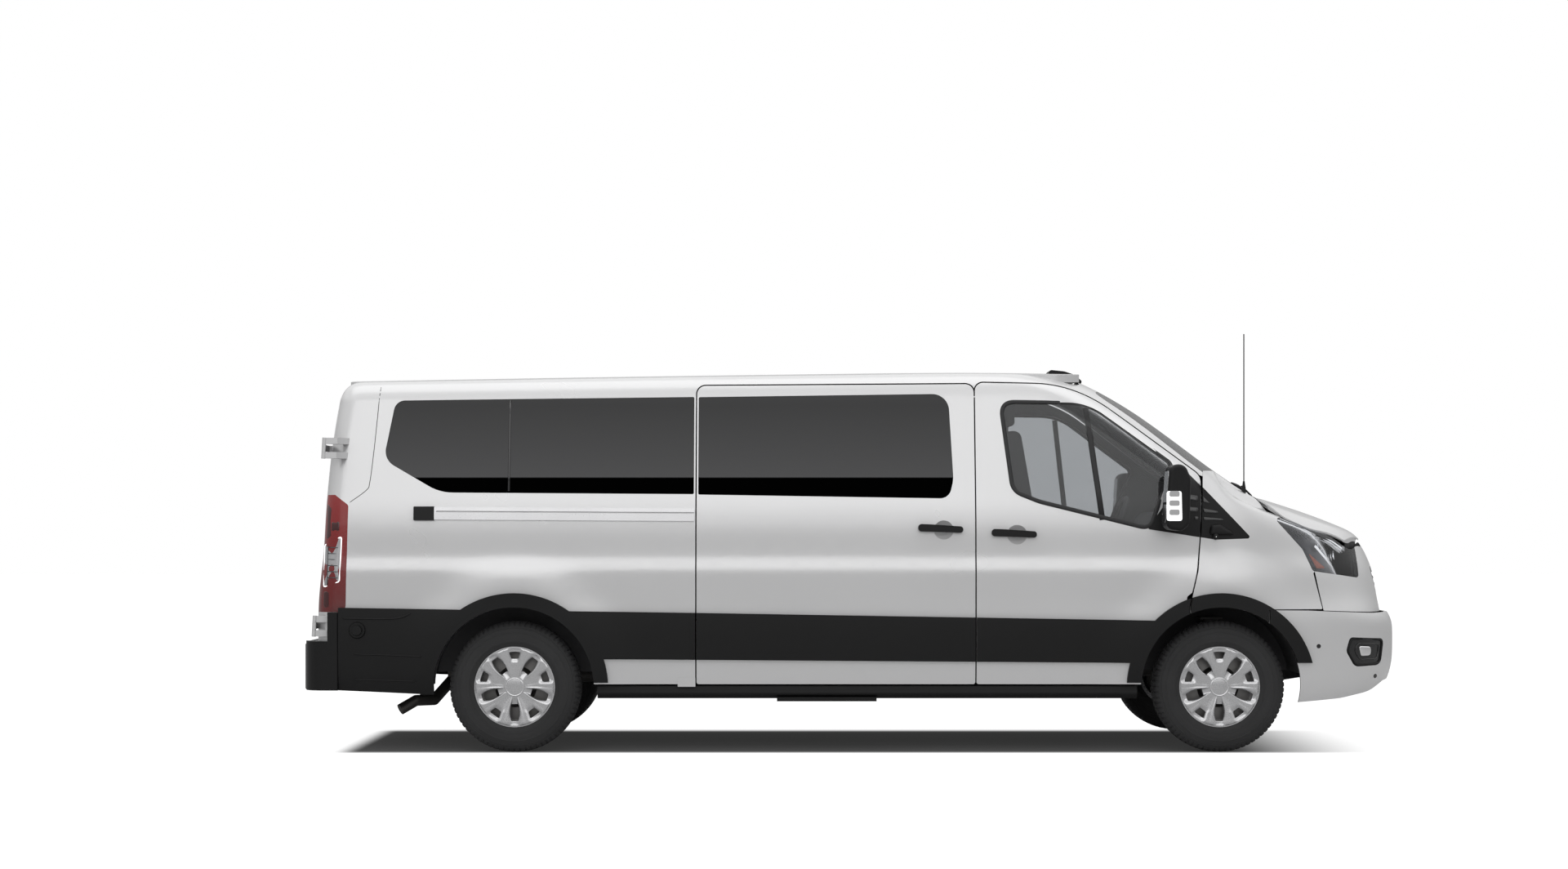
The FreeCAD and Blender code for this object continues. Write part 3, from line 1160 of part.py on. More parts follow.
def make_scuttle():
    """Black scuttle below the windscreen."""
    hx = HALF_LENGTH
    plan = [(hx - 950, -720, 20), (hx - 824, -725, 20), (hx - 676, 0, 1400), (hx - 824, 725, 20),
            (hx - 950, 720, 20),
            (hx - 790, 0, 1400)]
    return prism_z(plan, SCUTTLE_TOP + SEAT_GAP, SCUTTLE_TOP + 48)


def make_aerial(nose):
    """Mast on a round foot that stands on the right-hand fender."""
    x, y, tip = FRONT_AXLE_X + 150, -830.0, 2236.0
    low = nose_top_z(x, y) - FENDER_WALL / 2
    foot = Part.makeCone(14, 5, 62, Vec(x, y, low))
    foot = largest(foot.cut(nose.common(box(x - 40, x + 40, y - 40, y + 40, low - 60, low + 60))))
    return fuse([foot, cylinder(Vec(x, y, low + 20), Vec(x, y, tip), 3)])


def make_roof_pod(below):
    """Black pod on the roof above the middle of the windscreen, cut to fit the panels below it."""
    hx = HALF_LENGTH
    pod = prism_y([(hx - 1860, 2045, 4), (hx - 1844, 2086, 14), (hx - 1764, 2078, 60), (hx - 1704, 2058, 60),
                   (hx - 1664, 2022, 10), (hx - 1672, 2002, 4), (hx - 1702, 2032, 20)], -95, 95)
    for panel in below:
        pod = pod.cut(panel.common(box(hx - 1900, hx - 1600, -200, 200, 1900, 2150)))
    return largest(pod)


def seat(x, y, width, floor, height=620.0):
    """Seat with cushion, leaning back and headrest on a plinth that stands on the floor."""
    base = box(x - 180, x + 190, y - width / 2 + 60, y + width / 2 - 60, floor, floor + 300)
    left, right = y - width / 2, y + width / 2
    low, top = floor + 400, floor + 400 + height
    cushion = prism_y([(x - 240, floor + 300, 20), (x + 250, floor + 300, 40), (x + 262, floor + 425, 50),
                       (x + 120, floor + 408, 300), (x - 240, floor + 420, 30)], left, right)
    back = prism_y([(x - 262, low - 10, 20), (x - 120, low - 10, 30), (x - 190, low + height * 0.45, 300),
                    (x - 250, top, 45), (x - 340, top, 40), (x - 300, low + height * 0.4, 400)], left, right)
    rest = prism_y([(x - 350, top + 30, 25), (x - 270, top + 30, 25), (x - 276, top + 190, 40),
                    (x - 352, top + 185, 30)],
                   y - 130, y + 130)
    posts = [box(x - 315, x - 301, y + s * 60 - 7, y + s * 60 + 7, top - 25, top + 40) for s in (-1, 1)]
    return fuse([base, cushion, back, rest] + posts)


def make_front_seats():
    x = FRONT_AXLE_X - 790
    return Part.makeCompound([seat(x, s * 470, 500, FLOOR_TOP) for s in (-1, 1)])


def make_rear_seats():
    rows = []
    for x in (REAR_AXLE_X + 1880, REAR_AXLE_X + 1060, REAR_AXLE_X + 240):
        for y in (-470, 0, 470):
            rows.append(seat(x, y, 440, FLOOR_TOP, 560))
    return Part.makeCompound(rows)


def make_dashboard():
    """Dashboard with the driver's wheel on its column, on the left."""
    fx = FRONT_AXLE_X
    top = prism_y([(fx + 10, 980, 10), (fx - 250, 1000, 60), (fx - 290, 1180, 60), (fx - 200, 1290, 60),
                   (fx + 10, 1290, 10)], -800, 800)
    hub = Vec(fx - 400, 420, 1190)
    column = cylinder(hub, Vec(fx - 200, 420, 1100), 30)
    axis = Vec(-200, 0, 90).normalize()
    rim = Part.makeTorus(190, 15, hub.add(axis * 10), axis)
    boss = cylinder(hub.add(axis * -10), hub.add(axis * 25), 60)
    spokes = [box(hub.x - 8, hub.x + 14, 420 - 185, 420 + 185, hub.z - 12, hub.z + 14)]
    return fuse([top, column, boss, rim] + spokes)


def main():
    os.makedirs("parts", exist_ok=True)
    wall = cabin_wall()
    glass = slab(cabin_point, CABIN_U, CABIN_V, GLASS_INSET + GLASS_WALL, -GLASS_INSET)
    proud = slab(cabin_point, CABIN_U, CABIN_V, 0, CLADDING_DEPTH)
    trim = slab(cabin_point, CABIN_U, CABIN_V, 0, TRIM_DEPTH)
    rail_layer = slab(cabin_point, CABIN_U, CABIN_V, 0, RAIL_DEPTH)
    handle_layer = slab(cabin_point, CABIN_U, CABIN_V, 0, HANDLE_DEPTH)
    nose = slab(nose_point, NOSE_U, NOSE_V, FENDER_WALL)
    nose_edge = nose.cut(prism_z(grow(bonnet_outline(), BONNET_GAP), 900, 1600))
    nose_proud = slab(nose_point, NOSE_U, NOSE_V, 0, CLADDING_DEPTH)
    bumper = slab(bumper_point, NOSE_U, BUMPER_V, BUMPER_WALL)
    bumper_proud = slab(bumper_point, NOSE_U, BUMPER_V, 0, CLADDING_DEPTH)
    beam = slab(bumper_point, NOSE_U, BUMPER_V, BUMPER_WALL + 40, -BUMPER_WALL - SEAT_GAP)
    beam = beam.common(box(2400, 3000, -700, 0, 540, 640))

    nodes = {}
    nodes["body_side_right"] = fuse([make_body_side(wall, True)] + rear_hinge_brackets())
    left = fuse([make_body_side(wall, False)] + rear_hinge_brackets())
    nodes["body_side_left"] = flip(left)
    nodes["roof"] = make_roof()
    nodes["floor_pan"] = make_floor()
    nodes["windscreen"] = make_windscreen()

    door = make_front_door(wall)
    nodes["front_door_right"], nodes["front_door_left"] = door, flip(door)
    pane_front = glass.common(prism_y(front_door_glass_outline()))
    nodes["front_door_glass_right"], nodes["front_door_glass_left"] = pane_front, flip(pane_front)
    nodes["sliding_door"] = make_slider(wall)
    quarter = glass.common(prism_y(quarter_glass_outline(), -1200, -600))
    middle = glass.common(prism_y(slider_glass_outline(), -1200, -600))
    nodes["side_glass"] = Part.makeCompound([quarter, middle, flip(quarter), flip(middle)])
    rear = make_rear_door(wall)
    nodes["rear_door_right"], nodes["rear_door_left"] = rear, flip(rear)
    rear_pane = glass.common(prism_x(rear_glass_outline(), -3100, -2500))
    nodes["rear_door_glass_right"], nodes["rear_door_glass_left"] = rear_pane, flip(rear_pane)

    fender = make_fender(nose_edge)
    nodes["fenders"] = Part.makeCompound([fender, flip(fender)])
    nodes["bonnet"] = make_bonnet()
    half_bumper = make_front_bumper(bumper)
    fascia = make_fascia(nose_edge)
    nodes["front_bumper"] = Part.makeCompound([fuse([half_bumper, flip(half_bumper)]),
                                               fuse([fascia, flip(fascia)])])
    insert = slab(bumper_point, NOSE_U, BUMPER_V, BUMPER_WALL, -INSERT_SET_BACK)
    nodes["grille"] = Part.makeCompound([make_grille(nose)] + make_bumper_inserts(insert))
    lamp = make_headlamp(nose_edge)
    nodes["headlamps"] = Part.makeCompound([lamp, flip(lamp)])
    nodes["rear_bumper"] = make_rear_bumper()
    tail = make_tail_lamp(wall)
    nodes["tail_lamps"] = Part.makeCompound([tail, flip(tail)])
    sail = make_sail(nose_edge)

    cladding = make_cladding(proud, nose_proud, bumper_proud)
    door_strip, slider_strip, side_strip, fender_strip, bumper_strip = cladding
    door_sail = make_door_sail(trim)
    front_handle = make_handle(handle_layer, rail_layer, FRONT_HANDLE)
    door_trim = Part.makeCompound([door_strip, door_sail, front_handle])
    nodes["front_door_cladding_right"], nodes["front_door_cladding_left"] = door_trim, flip(door_trim)
    strips = [slider_strip, side_strip, fender_strip, bumper_strip, sail]
    sill = make_sill()
    right_only = [fuse([sill, make_side_step()]), make_handle(handle_layer, rail_layer, SLIDER_HANDLE),
                  make_rail_end(slab(cabin_point, CABIN_U, CABIN_V, 0, CAP_DEPTH))]
    left_strips = [flip(strip) for strip in strips + [sill]]
    nodes["side_cladding"] = Part.makeCompound(strips + left_strips + right_only)
    mirror = make_mirror(wall, door_sail)
    nodes["mirror_right"], nodes["mirror_left"] = mirror, flip(mirror)
    nodes["slider_rail"] = make_slider_rail(rail_layer)
    pod = make_roof_pod([nodes["roof"], nodes["body_side_right"], nodes["body_side_left"]])
    nodes["screen_trim"] = Part.makeCompound([make_scuttle(), make_aerial(nose), pod])

    nodes["chassis_frame"] = make_chassis(beam)
    nodes["front_suspension"] = make_front_suspension()
    nodes["rear_axle"] = make_rear_axle()
    nodes["engine"] = make_engine()
    nodes["fuel_tank"] = make_tank()
    nodes["exhaust"] = make_exhaust()
    nodes["dashboard"] = make_dashboard()
    nodes["front_seats"] = make_front_seats()
    nodes["rear_seats"] = make_rear_seats()

    knuckle = make_knuckle()
    nodes["knuckle_right"], nodes["knuckle_left"] = knuckle, flip(knuckle)
    for name, x, track in (("front", FRONT_AXLE_X, FRONT_TRACK), ("rear", REAR_AXLE_X, REAR_TRACK)):
        tyre, wheel = make_tyre(x, track), make_wheel(x, track)
        nodes["tyre_%s_right" % name], nodes["tyre_%s_left" % name] = tyre, flip(tyre)
        nodes["wheel_%s_right" % name], nodes["wheel_%s_left" % name] = wheel, flip(wheel)

    for name, shape in nodes.items():
        solids = len(shape.Solids)
        print("%-26s %s %d solids %8.4f m3" % (name, shape.isValid(), solids, shape.Volume / 1e9))
        shape.exportStep("parts/%s.step" % name)


if __name__ == "__main__":
    main()
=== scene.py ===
import json
import math

import bmesh
import bpy
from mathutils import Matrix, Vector
from mathutils.bvhtree import BVHTree

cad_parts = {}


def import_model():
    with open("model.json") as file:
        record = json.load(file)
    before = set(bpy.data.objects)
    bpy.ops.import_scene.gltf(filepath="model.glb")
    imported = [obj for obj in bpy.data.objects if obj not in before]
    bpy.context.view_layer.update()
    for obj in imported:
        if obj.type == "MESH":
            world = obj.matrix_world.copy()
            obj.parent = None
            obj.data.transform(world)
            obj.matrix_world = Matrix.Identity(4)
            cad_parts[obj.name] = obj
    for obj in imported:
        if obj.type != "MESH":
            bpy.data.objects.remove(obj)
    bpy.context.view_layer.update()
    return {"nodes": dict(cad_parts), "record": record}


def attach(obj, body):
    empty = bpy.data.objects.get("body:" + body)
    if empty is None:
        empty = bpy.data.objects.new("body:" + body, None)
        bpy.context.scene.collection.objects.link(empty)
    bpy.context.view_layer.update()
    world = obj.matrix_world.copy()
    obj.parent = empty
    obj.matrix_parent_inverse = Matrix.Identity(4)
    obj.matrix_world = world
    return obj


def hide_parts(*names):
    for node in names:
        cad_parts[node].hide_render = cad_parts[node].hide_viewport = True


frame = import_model()
nodes = frame["nodes"]

# Frame: +X to the front, +Y to the vehicle's left, +Z up, in metres.

FRONT_AXLE_X = 1.9675
REAR_AXLE_X = -1.7825
HALF_LENGTH = 2.9905
FRONT_TRACK = 1.732
REAR_TRACK = 1.743
WHEEL_HEIGHT = 0.35
TYRE_WIDTH = 0.235
SLIDER_REAR_X = FRONT_AXLE_X - 2.782

# The photograph's camera: its place, its lens, and where the horizon lies in the picture
CAMERA_PLACE = (-0.350, -15.990, 1.180)
CAMERA_LENS = 64.86
SENSOR_WIDTH = 36.0
IMAGE_WIDTH = 1920
IMAGE_HEIGHT = 1064
HORIZON_ROW = 650

# Where the painted shadow under the van lies on the floor: the rear, front, near and far edges and how
# softly each one fades
SHADOW_REAR = (-2.70, 0.08)
SHADOW_FRONT = (2.475, 0.475)
SHADOW_NEAR = (-0.95, 0.08)
SHADOW_FAR = (0.72, 0.15)

# Top of the black band painted along the bottom of the side windows as a painted reflection
REFLECTION_BAND_TOP = 1.462

# How deep the foot of a laid-on strip sits in the surface
STRIP_FOOT = 0.004


# Shader helpers

def feed(tree, node, inputs):
    """Sets a node's inputs, each to a value or to another node's output."""
    for key, value in inputs.items():
        if isinstance(value, bpy.types.NodeSocket):
            tree.links.new(value, node.inputs[key])
        else:
            node.inputs[key].default_value = value
    return node


def add(tree, kind, inputs, **settings):
    """New shader node, with its settings and its inputs."""
    node = tree.nodes.new("ShaderNode" + kind)
    for key, value in settings.items():
        setattr(node, key, value)
    return feed(tree, node, inputs)


def new_material(name):
    """Material, its node tree and its main shader."""
    material = bpy.data.materials.new(name + "_look")
    material.use_nodes = True
    tree = material.node_tree
    return material, tree, tree.nodes["Principled BSDF"]


def place_in(tree):
    """The shaded point in the row's own coordinates, in metres."""
    return add(tree, "TexCoord", {}).outputs["Object"]


def split(tree, place):
    """X, Y and Z of a place."""
    return add(tree, "SeparateXYZ", {"Vector": place}).outputs


def span(tree, value, low, high, first=0.0, last=1.0, **settings):
    """A number that runs from first to last while a value runs from low to high."""
    inputs = {"Value": value, "From Min": low, "From Max": high, "To Min": first, "To Max": last}
    return add(tree, "MapRange", inputs, **settings).outputs["Result"]


def product(tree, one, other):
    """One number times another."""
    return add(tree, "Math", {0: one, 1: other}, operation="MULTIPLY").outputs["Value"]


def blend(tree, share, one, other):
    """Colour between two others."""
    return add(tree, "Mix", {"Factor": share, "A": one, "B": other}, data_type="RGBA").outputs["Result"]


def ramp(tree, value, low, high, colour_low, colour_high):
    """Colour that runs from one value to another between two levels of a number."""
    return blend(tree, span(tree, value, low, high), (*colour_low, 1), (*colour_high, 1))


def noise(tree, scale, detail=3.0):
    """Noise whose grain has a real size."""
    return add(tree, "TexNoise", {"Vector": place_in(tree), "Scale": scale, "Detail": detail}).outputs["Fac"]


def bump(tree, shader, height, strength, distance):
    """Makes a height show as fine relief."""
    node = add(tree, "Bump", {"Height": height, "Strength": strength, "Distance": distance})
    tree.links.new(node.outputs["Normal"], shader.inputs["Normal"])


def surface(name, colour, roughness, metallic=0.0, grain=200.0, tone=0.06, depth=0.0001, strength=0.1,
            coat=0.0, spread=0.08, shine=0.5, glow=0.0):
    """Material with slight changes of colour and gloss and a fine grain."""
    material, tree, shader = new_material(name)
    darker = tuple(c * (1 - tone) for c in colour)
    fine = noise(tree, grain)
    feed(tree, shader, {
        "Base Color": ramp(tree, noise(tree, 3.0), 0.35, 0.65, darker, colour),
        "Metallic": metallic,
        "Specular IOR Level": shine,
        "Roughness": span(tree, fine, 0, 1, max(0.02, roughness - spread), min(1.0, roughness + spread)),
        "Emission Color": (1, 1, 1, 1),
        "Emission Strength": glow,
        "Coat Weight": coat,
        "Coat Roughness": 0.04})
    bump(tree, shader, fine, strength, depth)
    return material


def tinted_glass():
    """Privacy glass: near black, with painted reflections: greyer towards the belt, and a black band without
    gloss along the bottom edge.
    """
    material, tree, shader = new_material("tinted_glass")
    z = split(tree, place_in(tree))["Z"]
    # Painted reflection: greyer glass towards the belt and a black band below it, with its gloss turned off,
    # stand in for the studio's reflections
    above = span(tree, z, REFLECTION_BAND_TOP, REFLECTION_BAND_TOP + 0.005)
    upper = ramp(tree, z, 1.47, 1.85, (0.062, 0.062, 0.064), (0.018, 0.018, 0.019))
    feed(tree, shader, {
        "Base Color": blend(tree, above, (0.001, 0.001, 0.001, 1), upper),
        "Roughness": 0.05,
        "Specular IOR Level": product(tree, above, 0.3)})
    bump(tree, shader, noise(tree, 1.2), 0.02, 0.002)
    return material


def see_through(name, tint, opacity):
    """Glass or clear plastic: a clear tint under a gloss that grows at a slant."""
    material, tree, shader = new_material(name)
    tree.nodes.remove(shader)
    milky = ramp(tree, noise(tree, 2.0), 0.3, 0.7, tuple(c * 0.55 for c in tint), tint)
    clear = add(tree, "BsdfTransparent", {"Color": (*tint, 1)}).outputs["BSDF"]
    body = add(tree, "BsdfDiffuse", {"Color": milky}).outputs["BSDF"]
    gloss = add(tree, "BsdfGlossy", {"Roughness": 0.03}).outputs["BSDF"]
    slant = add(tree, "Fresnel", {"IOR": 1.45}).outputs["Fac"]
    inner = add(tree, "MixShader", {"Fac": opacity, 1: clear, 2: body}).outputs["Shader"]
    outer = add(tree, "MixShader", {"Fac": slant, 1: inner, 2: gloss}).outputs["Shader"]
    feed(tree, tree.nodes["Material Output"], {"Surface": outer})
    return material


def woven_cloth(name, colour):
    """Seat cloth with a fine two-way weave."""
    material, tree, shader = new_material(name)
    place = place_in(tree)
    weave = add(tree, "TexWave", {"Vector": place, "Scale": 120, "Distortion": 1.5}).outputs["Fac"]
    across = add(tree, "TexWave", {"Vector": place, "Scale": 120}, bands_direction="Z").outputs["Fac"]
    both = product(tree, weave, across)
    threads = ramp(tree, both, 0.1, 0.7, tuple(c * 0.6 for c in colour), colour)
    feed(tree, shader, {"Base Color": threads, "Roughness": 0.92, "Sheen Weight": 0.4})
    bump(tree, shader, both, 0.5, 0.0006)
    return material


def facing_out(tree):
    """1 where a face looks away from the cabin's middle and 0 where it looks inwards."""
    place = add(tree, "TexCoord", {})
    away = add(tree, "VectorMath", {0: place.outputs["Object"], 1: (0.3, 2.0, 1.0), 2: (0, 0, -0.4)},
               operation="MULTIPLY_ADD")
    facing = add(tree, "VectorMath", {0: away.outputs["Vector"], 1: place.outputs["Normal"]},
                 operation="DOT_PRODUCT")
    return span(tree, facing.outputs["Value"], -0.03, 0.03)


def body_paint():
    """Light silver paint under a clear coat outside, with small metal flakes, and a dark lining inside."""
    material, tree, shader = new_material("body_paint")
    outside = facing_out(tree)
    flakes = ramp(tree, noise(tree, 2500.0, 1.0), 0.3, 0.7, (0.72, 0.72, 0.725), (0.82, 0.82, 0.825))
    feed(tree, shader, {
        "Base Color": blend(tree, outside, (0.045, 0.045, 0.047, 1), flakes),
        "Metallic": product(tree, outside, 0.35),
        "Roughness": span(tree, noise(tree, 1.6), 0, 1, 0.25, 0.32),
        "Coat Weight": product(tree, outside, 0.5),
        "Coat Roughness": 0.08})
    bump(tree, shader, noise(tree, 90.0), 0.03, 0.0004)
    return material


def lamp_red():
    """Red lens with fine flutes, darker towards the bottom."""
    material, tree, shader = new_material("lamp_red")
    z = split(tree, place_in(tree))["Z"]
    red = ramp(tree, z, 0.78, 1.36, (0.15, 0.0006, 0.001), (0.34, 0.002, 0.003))
    feed(tree, shader, {"Base Color": red, "Roughness": 0.15, "Coat Weight": 0.5})
    flutes = add(tree, "TexWave", {"Scale": 60}, bands_direction="Z")
    bump(tree, shader, flutes.outputs["Fac"], 0.3, 0.001)
    return material


def fins():
    """Dark radiator core with fine upright fins."""
    material, tree, shader = new_material("radiator")
    fin = add(tree, "TexWave", {"Vector": place_in(tree), "Scale": 80}, bands_direction="Y").outputs["Fac"]
    colour = ramp(tree, fin, 0.2, 0.8, (0.004, 0.004, 0.004), (0.035, 0.035, 0.037))
    feed(tree, shader, {"Base Color": colour, "Roughness": 0.6})
    bump(tree, shader, fin, 0.4, 0.002)
    return material


# Materials: one for each slot of the record, and the others that only the details here wear

MATERIALS = {
    "body_paint": body_paint(),
    "floor_paint": surface("floor_paint", (0.05, 0.05, 0.053), 0.7, grain=300, tone=0.2),
    "black_trim": surface("black_trim", (0.004, 0.004, 0.0043), 0.5, grain=900, tone=0.15, depth=0.0002,
                          strength=0.25, shine=0.3),
    "tinted_glass": tinted_glass(),
    "clear_glass": see_through("clear_glass", (0.74, 0.75, 0.76), 0.03),
    "lamp_clear": see_through("lamp_clear", (0.92, 0.93, 0.95), 0.02),
    "lamp_red": lamp_red(),
    "grille_black": surface("grille_black", (0.012, 0.012, 0.013), 0.28, grain=400, coat=0.3),
    "bright_rail": surface("bright_rail", (0.74, 0.74, 0.75), 0.30, 0.7, grain=300),
    "chassis_black": surface("chassis_black", (0.022, 0.022, 0.024), 0.6, grain=200, tone=0.3),
    "cast_metal": surface("cast_metal", (0.14, 0.135, 0.13), 0.62, 0.6, grain=260, tone=0.3,
                          depth=0.0006, strength=0.4),
    "exhaust_steel": surface("exhaust_steel", (0.10, 0.095, 0.09), 0.45, 0.7, grain=120, tone=0.35),
    "tank_plastic": surface("tank_plastic", (0.03, 0.03, 0.031), 0.6, grain=300),
    "seat_cloth": woven_cloth("seat_cloth", (0.085, 0.087, 0.092)),
    "dash_plastic": surface("dash_plastic", (0.05, 0.05, 0.053), 0.6, grain=700, depth=0.0003,
                            strength=0.3),
    "tyre_rubber": surface("tyre_rubber", (0.032, 0.032, 0.033), 0.78, grain=500, tone=0.25,
                           depth=0.0004, strength=0.35),
    "wheel_silver": surface("wheel_silver", (0.60, 0.60, 0.61), 0.26, 0.75, grain=400, tone=0.05,
                            coat=0.3),
}
BLACK_TRIM = MATERIALS["black_trim"]
CHROME = surface("chrome", (0.86, 0.86, 0.87), 0.08, 1.0, grain=60, spread=0.03)
DARK_GAP = surface("dark_gap", (0.006, 0.006, 0.006), 0.8)
GLOSS_BLACK = surface("gloss_black", (0.010, 0.010, 0.011), 0.12, grain=80, coat=0.4)
SEAL_RUBBER = surface("seal_rubber", (0.014, 0.014, 0.015), 0.55, grain=600, strength=0.3)
AMBER = surface("amber", (0.75, 0.13, 0.02), 0.2, grain=60, coat=0.6)
LED_WHITE = surface("led_white", (0.95, 0.95, 0.96), 0.25, grain=60, coat=0.5, glow=0.8)
LAMP_GREY = surface("lamp_grey", (0.10, 0.10, 0.105), 0.3, 0.4, grain=300)
LAMP_SILVER = surface("lamp_silver", (0.62, 0.62, 0.63), 0.18, 0.7, grain=120, tone=0.25, coat=0.6)
DEEP_RED = surface("deep_red", (0.060, 0.001, 0.002), 0.15, grain=200, coat=0.7)
RADIATOR = fins()
BRAKE_STEEL = surface("brake_steel", (0.22, 0.215, 0.21), 0.42, 0.9, grain=200, tone=0.25)

# Every CAD node wears the look of its material slot
for cad_name, cad_object in nodes.items():
    entry = next(s for s in frame["record"]["subparts"] if s["node"] == cad_name)
    cad_object.data.materials.clear()
    cad_object.data.materials.append(MATERIALS[entry["material_slot"]])


# Mesh helpers

X_AXIS = Vector((1, 0, 0))
Y_AXIS = Vector((0, 1, 0))
Z_AXIS = Vector((0, 0, 1))


def add_object(name, data):
    """Puts a new object into the scene."""
    item = bpy.data.objects.new(name, data)
    bpy.context.scene.collection.objects.link(item)
    return item


def piece(name, vertices, faces, material, body, smooth=True):
    """Makes a named object that rides on a body, with its faces turned outwards."""
    mesh = bpy.data.meshes.new(name)
    mesh.from_pydata([tuple(v) for v in vertices], [], faces)
    mesh.validate()
    work = bmesh.new()
    work.from_mesh(mesh)
    bmesh.ops.recalc_face_normals(work, faces=work.faces)
    work.to_mesh(mesh)
    work.free()
    if smooth:
        mesh.shade_smooth()
    mesh.materials.append(material)
    item = add_object(name, mesh)
    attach(item, body)
    return item


def both_sides(build, name, body="body"):
    """Builds a piece and its mirror image, on the van's body or on the right and left front doors."""
    for side, sign in (("right", -1), ("left", 1)):
        build(name + "_" + side, sign, body if body == "body" else body + "_" + side)


def sharpen(item, angle):
    """Keeps edges sharper than an angle crisp under smooth shading."""
    item.data.set_sharp_from_angle(angle=math.radians(angle))


def grid_faces(rows, wide, rows_closed, wide_closed=True):
    """Faces between the points of a grid, joined up end to end either way where it is closed."""
    faces = []
    for i in range(rows if rows_closed else rows - 1):
        j = (i + 1) % rows
        for k in range(wide if wide_closed else wide - 1):
            m = (k + 1) % wide
            faces.append((i * wide + k, i * wide + m, j * wide + m, j * wide + k))
    return faces


def rectangle(a_low, a_high, b_low, b_high, radius, low_radius=None):
    """Corners (a, b, radius) of an upright rectangle, from its top left."""
    low_radius = low_radius or radius
    return [(a_low, b_high, radius), (a_high, b_high, radius), (a_high, b_low, low_radius),
            (a_low, b_low, low_radius)]


def disc_points(x, z, radius, count):
    """Points round a circle in the side view."""
    turns = [2 * math.pi * k / count for k in range(count)]
    return [(x + radius * math.cos(t), z + radius * math.sin(t)) for t in turns]


def smooth_line(points, steps=6):
    """Curve through a few points."""
    curve = []
    last = len(points) - 1
    for i in range(last):
        p0 = Vector(points[max(0, i - 1)])
        p1 = Vector(points[i])
        p2 = Vector(points[i + 1])
        p3 = Vector(points[min(last, i + 2)])
        for k in range(steps):
            t = k / steps
            curve.append(0.5 * (2 * p1 + (p2 - p0) * t + (2 * p0 - 5 * p1 + 4 * p2 - p3) * t ** 2
                                + (3 * p1 - p0 - 3 * p2 + p3) * t ** 3))
    curve.append(Vector(points[-1]))
    return [tuple(c) for c in curve]


def rounded(corners, step=0.012):
    """Points round a closed outline with an arc at each corner (a, b, radius)."""
    points = []
    count = len(corners)
    for i in range(count):
        px, pz, radius = corners[i]
        ax, az = corners[i - 1][:2]
        bx, bz = corners[(i + 1) % count][:2]
        to_a, to_b = Vector((ax - px, az - pz)), Vector((bx - px, bz - pz))
        half = to_a.angle(to_b) / 2
        reach = min(radius / math.tan(half), 0.49 * to_a.length, 0.49 * to_b.length)
        start = Vector((px, pz)) + to_a.normalized() * reach
        end = Vector((px, pz)) + to_b.normalized() * reach
        corner = Vector((px, pz))
        steps = max(1, int(reach * 2 / step))
        for k in range(steps + 1):
            t = k / steps
            points.append((1 - t) ** 2 * start + 2 * t * (1 - t) * corner + t * t * end)
        following = Vector((bx, bz))
        gap = (following - end).length
        for k in range(1, max(1, int(gap * 0.5 / 0.06))):
            points.append(end.lerp(following, k * 0.06 / gap))
    return [(p.x, p.y) for p in points]


def outline(points, radius, step=0.006):
    """Rounded outline whose corners (a, b) all have the same radius."""
    return rounded([(a, b, radius) for a, b in points], step)


def pairs(*names):
    """Names of the nodes that there are on the right and on the left."""
    return [name + side for name in names for side in ("_right", "_left")]


class Skin:
    """Finds points on the outside of some of the fixed pieces."""

    def __init__(self, names):
        vertices, faces = [], []
        for name in names:
            base = len(vertices)
            mesh = nodes[name].data
            vertices += [v.co.copy() for v in mesh.vertices]
            faces += [[base + i for i in p.vertices] for p in mesh.polygons]
        self.tree = BVHTree.FromPolygons(vertices, faces)

    def hit(self, origin, direction):
        """First point along a ray, and the normal that faces the ray's start."""
        place, normal, _, _ = self.tree.ray_cast(Vector(origin), Vector(direction))
        if place is None:
            return None
        if normal.dot(Vector(direction)) > 0:
            normal = -normal
        return place, normal

    def side(self, x, z, sign):
        return self.hit((x, sign * 2.0, z), (0, -sign, 0))

    def front(self, y, z):
        return self.hit((4.0, y, z), (-1, 0, 0))

    def rear(self, y, z):
        return self.hit((-4.0, y, z), (1, 0, 0))

    def top(self, x, y):
        return self.hit((x, y, 3.0), (0, 0, -1))


HEADLAMP_SKIN = Skin(["headlamps"])
SCREEN_SKIN = Skin(["windscreen"])
BONNET_SKIN = Skin(["bonnet"])
FASCIA_SKIN = Skin(["front_bumper"])
BODY_SKIN = Skin(pairs("body_side", "front_door", "front_door_glass", "rear_door", "rear_door_glass")
                 + ["roof", "sliding_door", "side_glass", "fenders", "bonnet", "front_bumper", "tail_lamps",
                    "headlamps", "windscreen", "grille"])
OUTER_SKIN = Skin(pairs("body_side", "front_door", "front_door_cladding")
                  + ["side_cladding", "rear_bumper", "front_bumper", "sliding_door", "fenders", "grille"])


def sweep(name, path, normals, profile, material, body, closed=True):
    """Runs a small profile of (along the side, along the normal) points round a path."""
    vertices = []
    count, wide = len(path), len(profile)
    for i in range(count):
        before = path[i - 1] if closed or i > 0 else path[i]
        after = path[(i + 1) % count] if closed or i < count - 1 else path[i]
        along = (after - before).normalized()
        normal = normals[i]
        across = normal.cross(along).normalized()
        for a, b in profile:
            vertices.append(path[i] + across * a + normal * b)
    faces = grid_faces(count, wide, closed)
    if not closed:
        faces.append(tuple(range(wide)))
        faces.append(tuple((count - 1) * wide + k for k in range(wide)))
    return piece(name, vertices, faces, material, body)


def path_through(hits):
    """Points and normals where rays met something."""
    found = [hit for hit in hits if hit]
    return [place for place, _ in found], [normal for _, normal in found]


def on_skin(points, sign, skin=BODY_SKIN):
    """Side-view points (x, z) carried onto the outside of the body, with the normals there."""
    return path_through(skin.side(x, z, sign) for x, z in points)


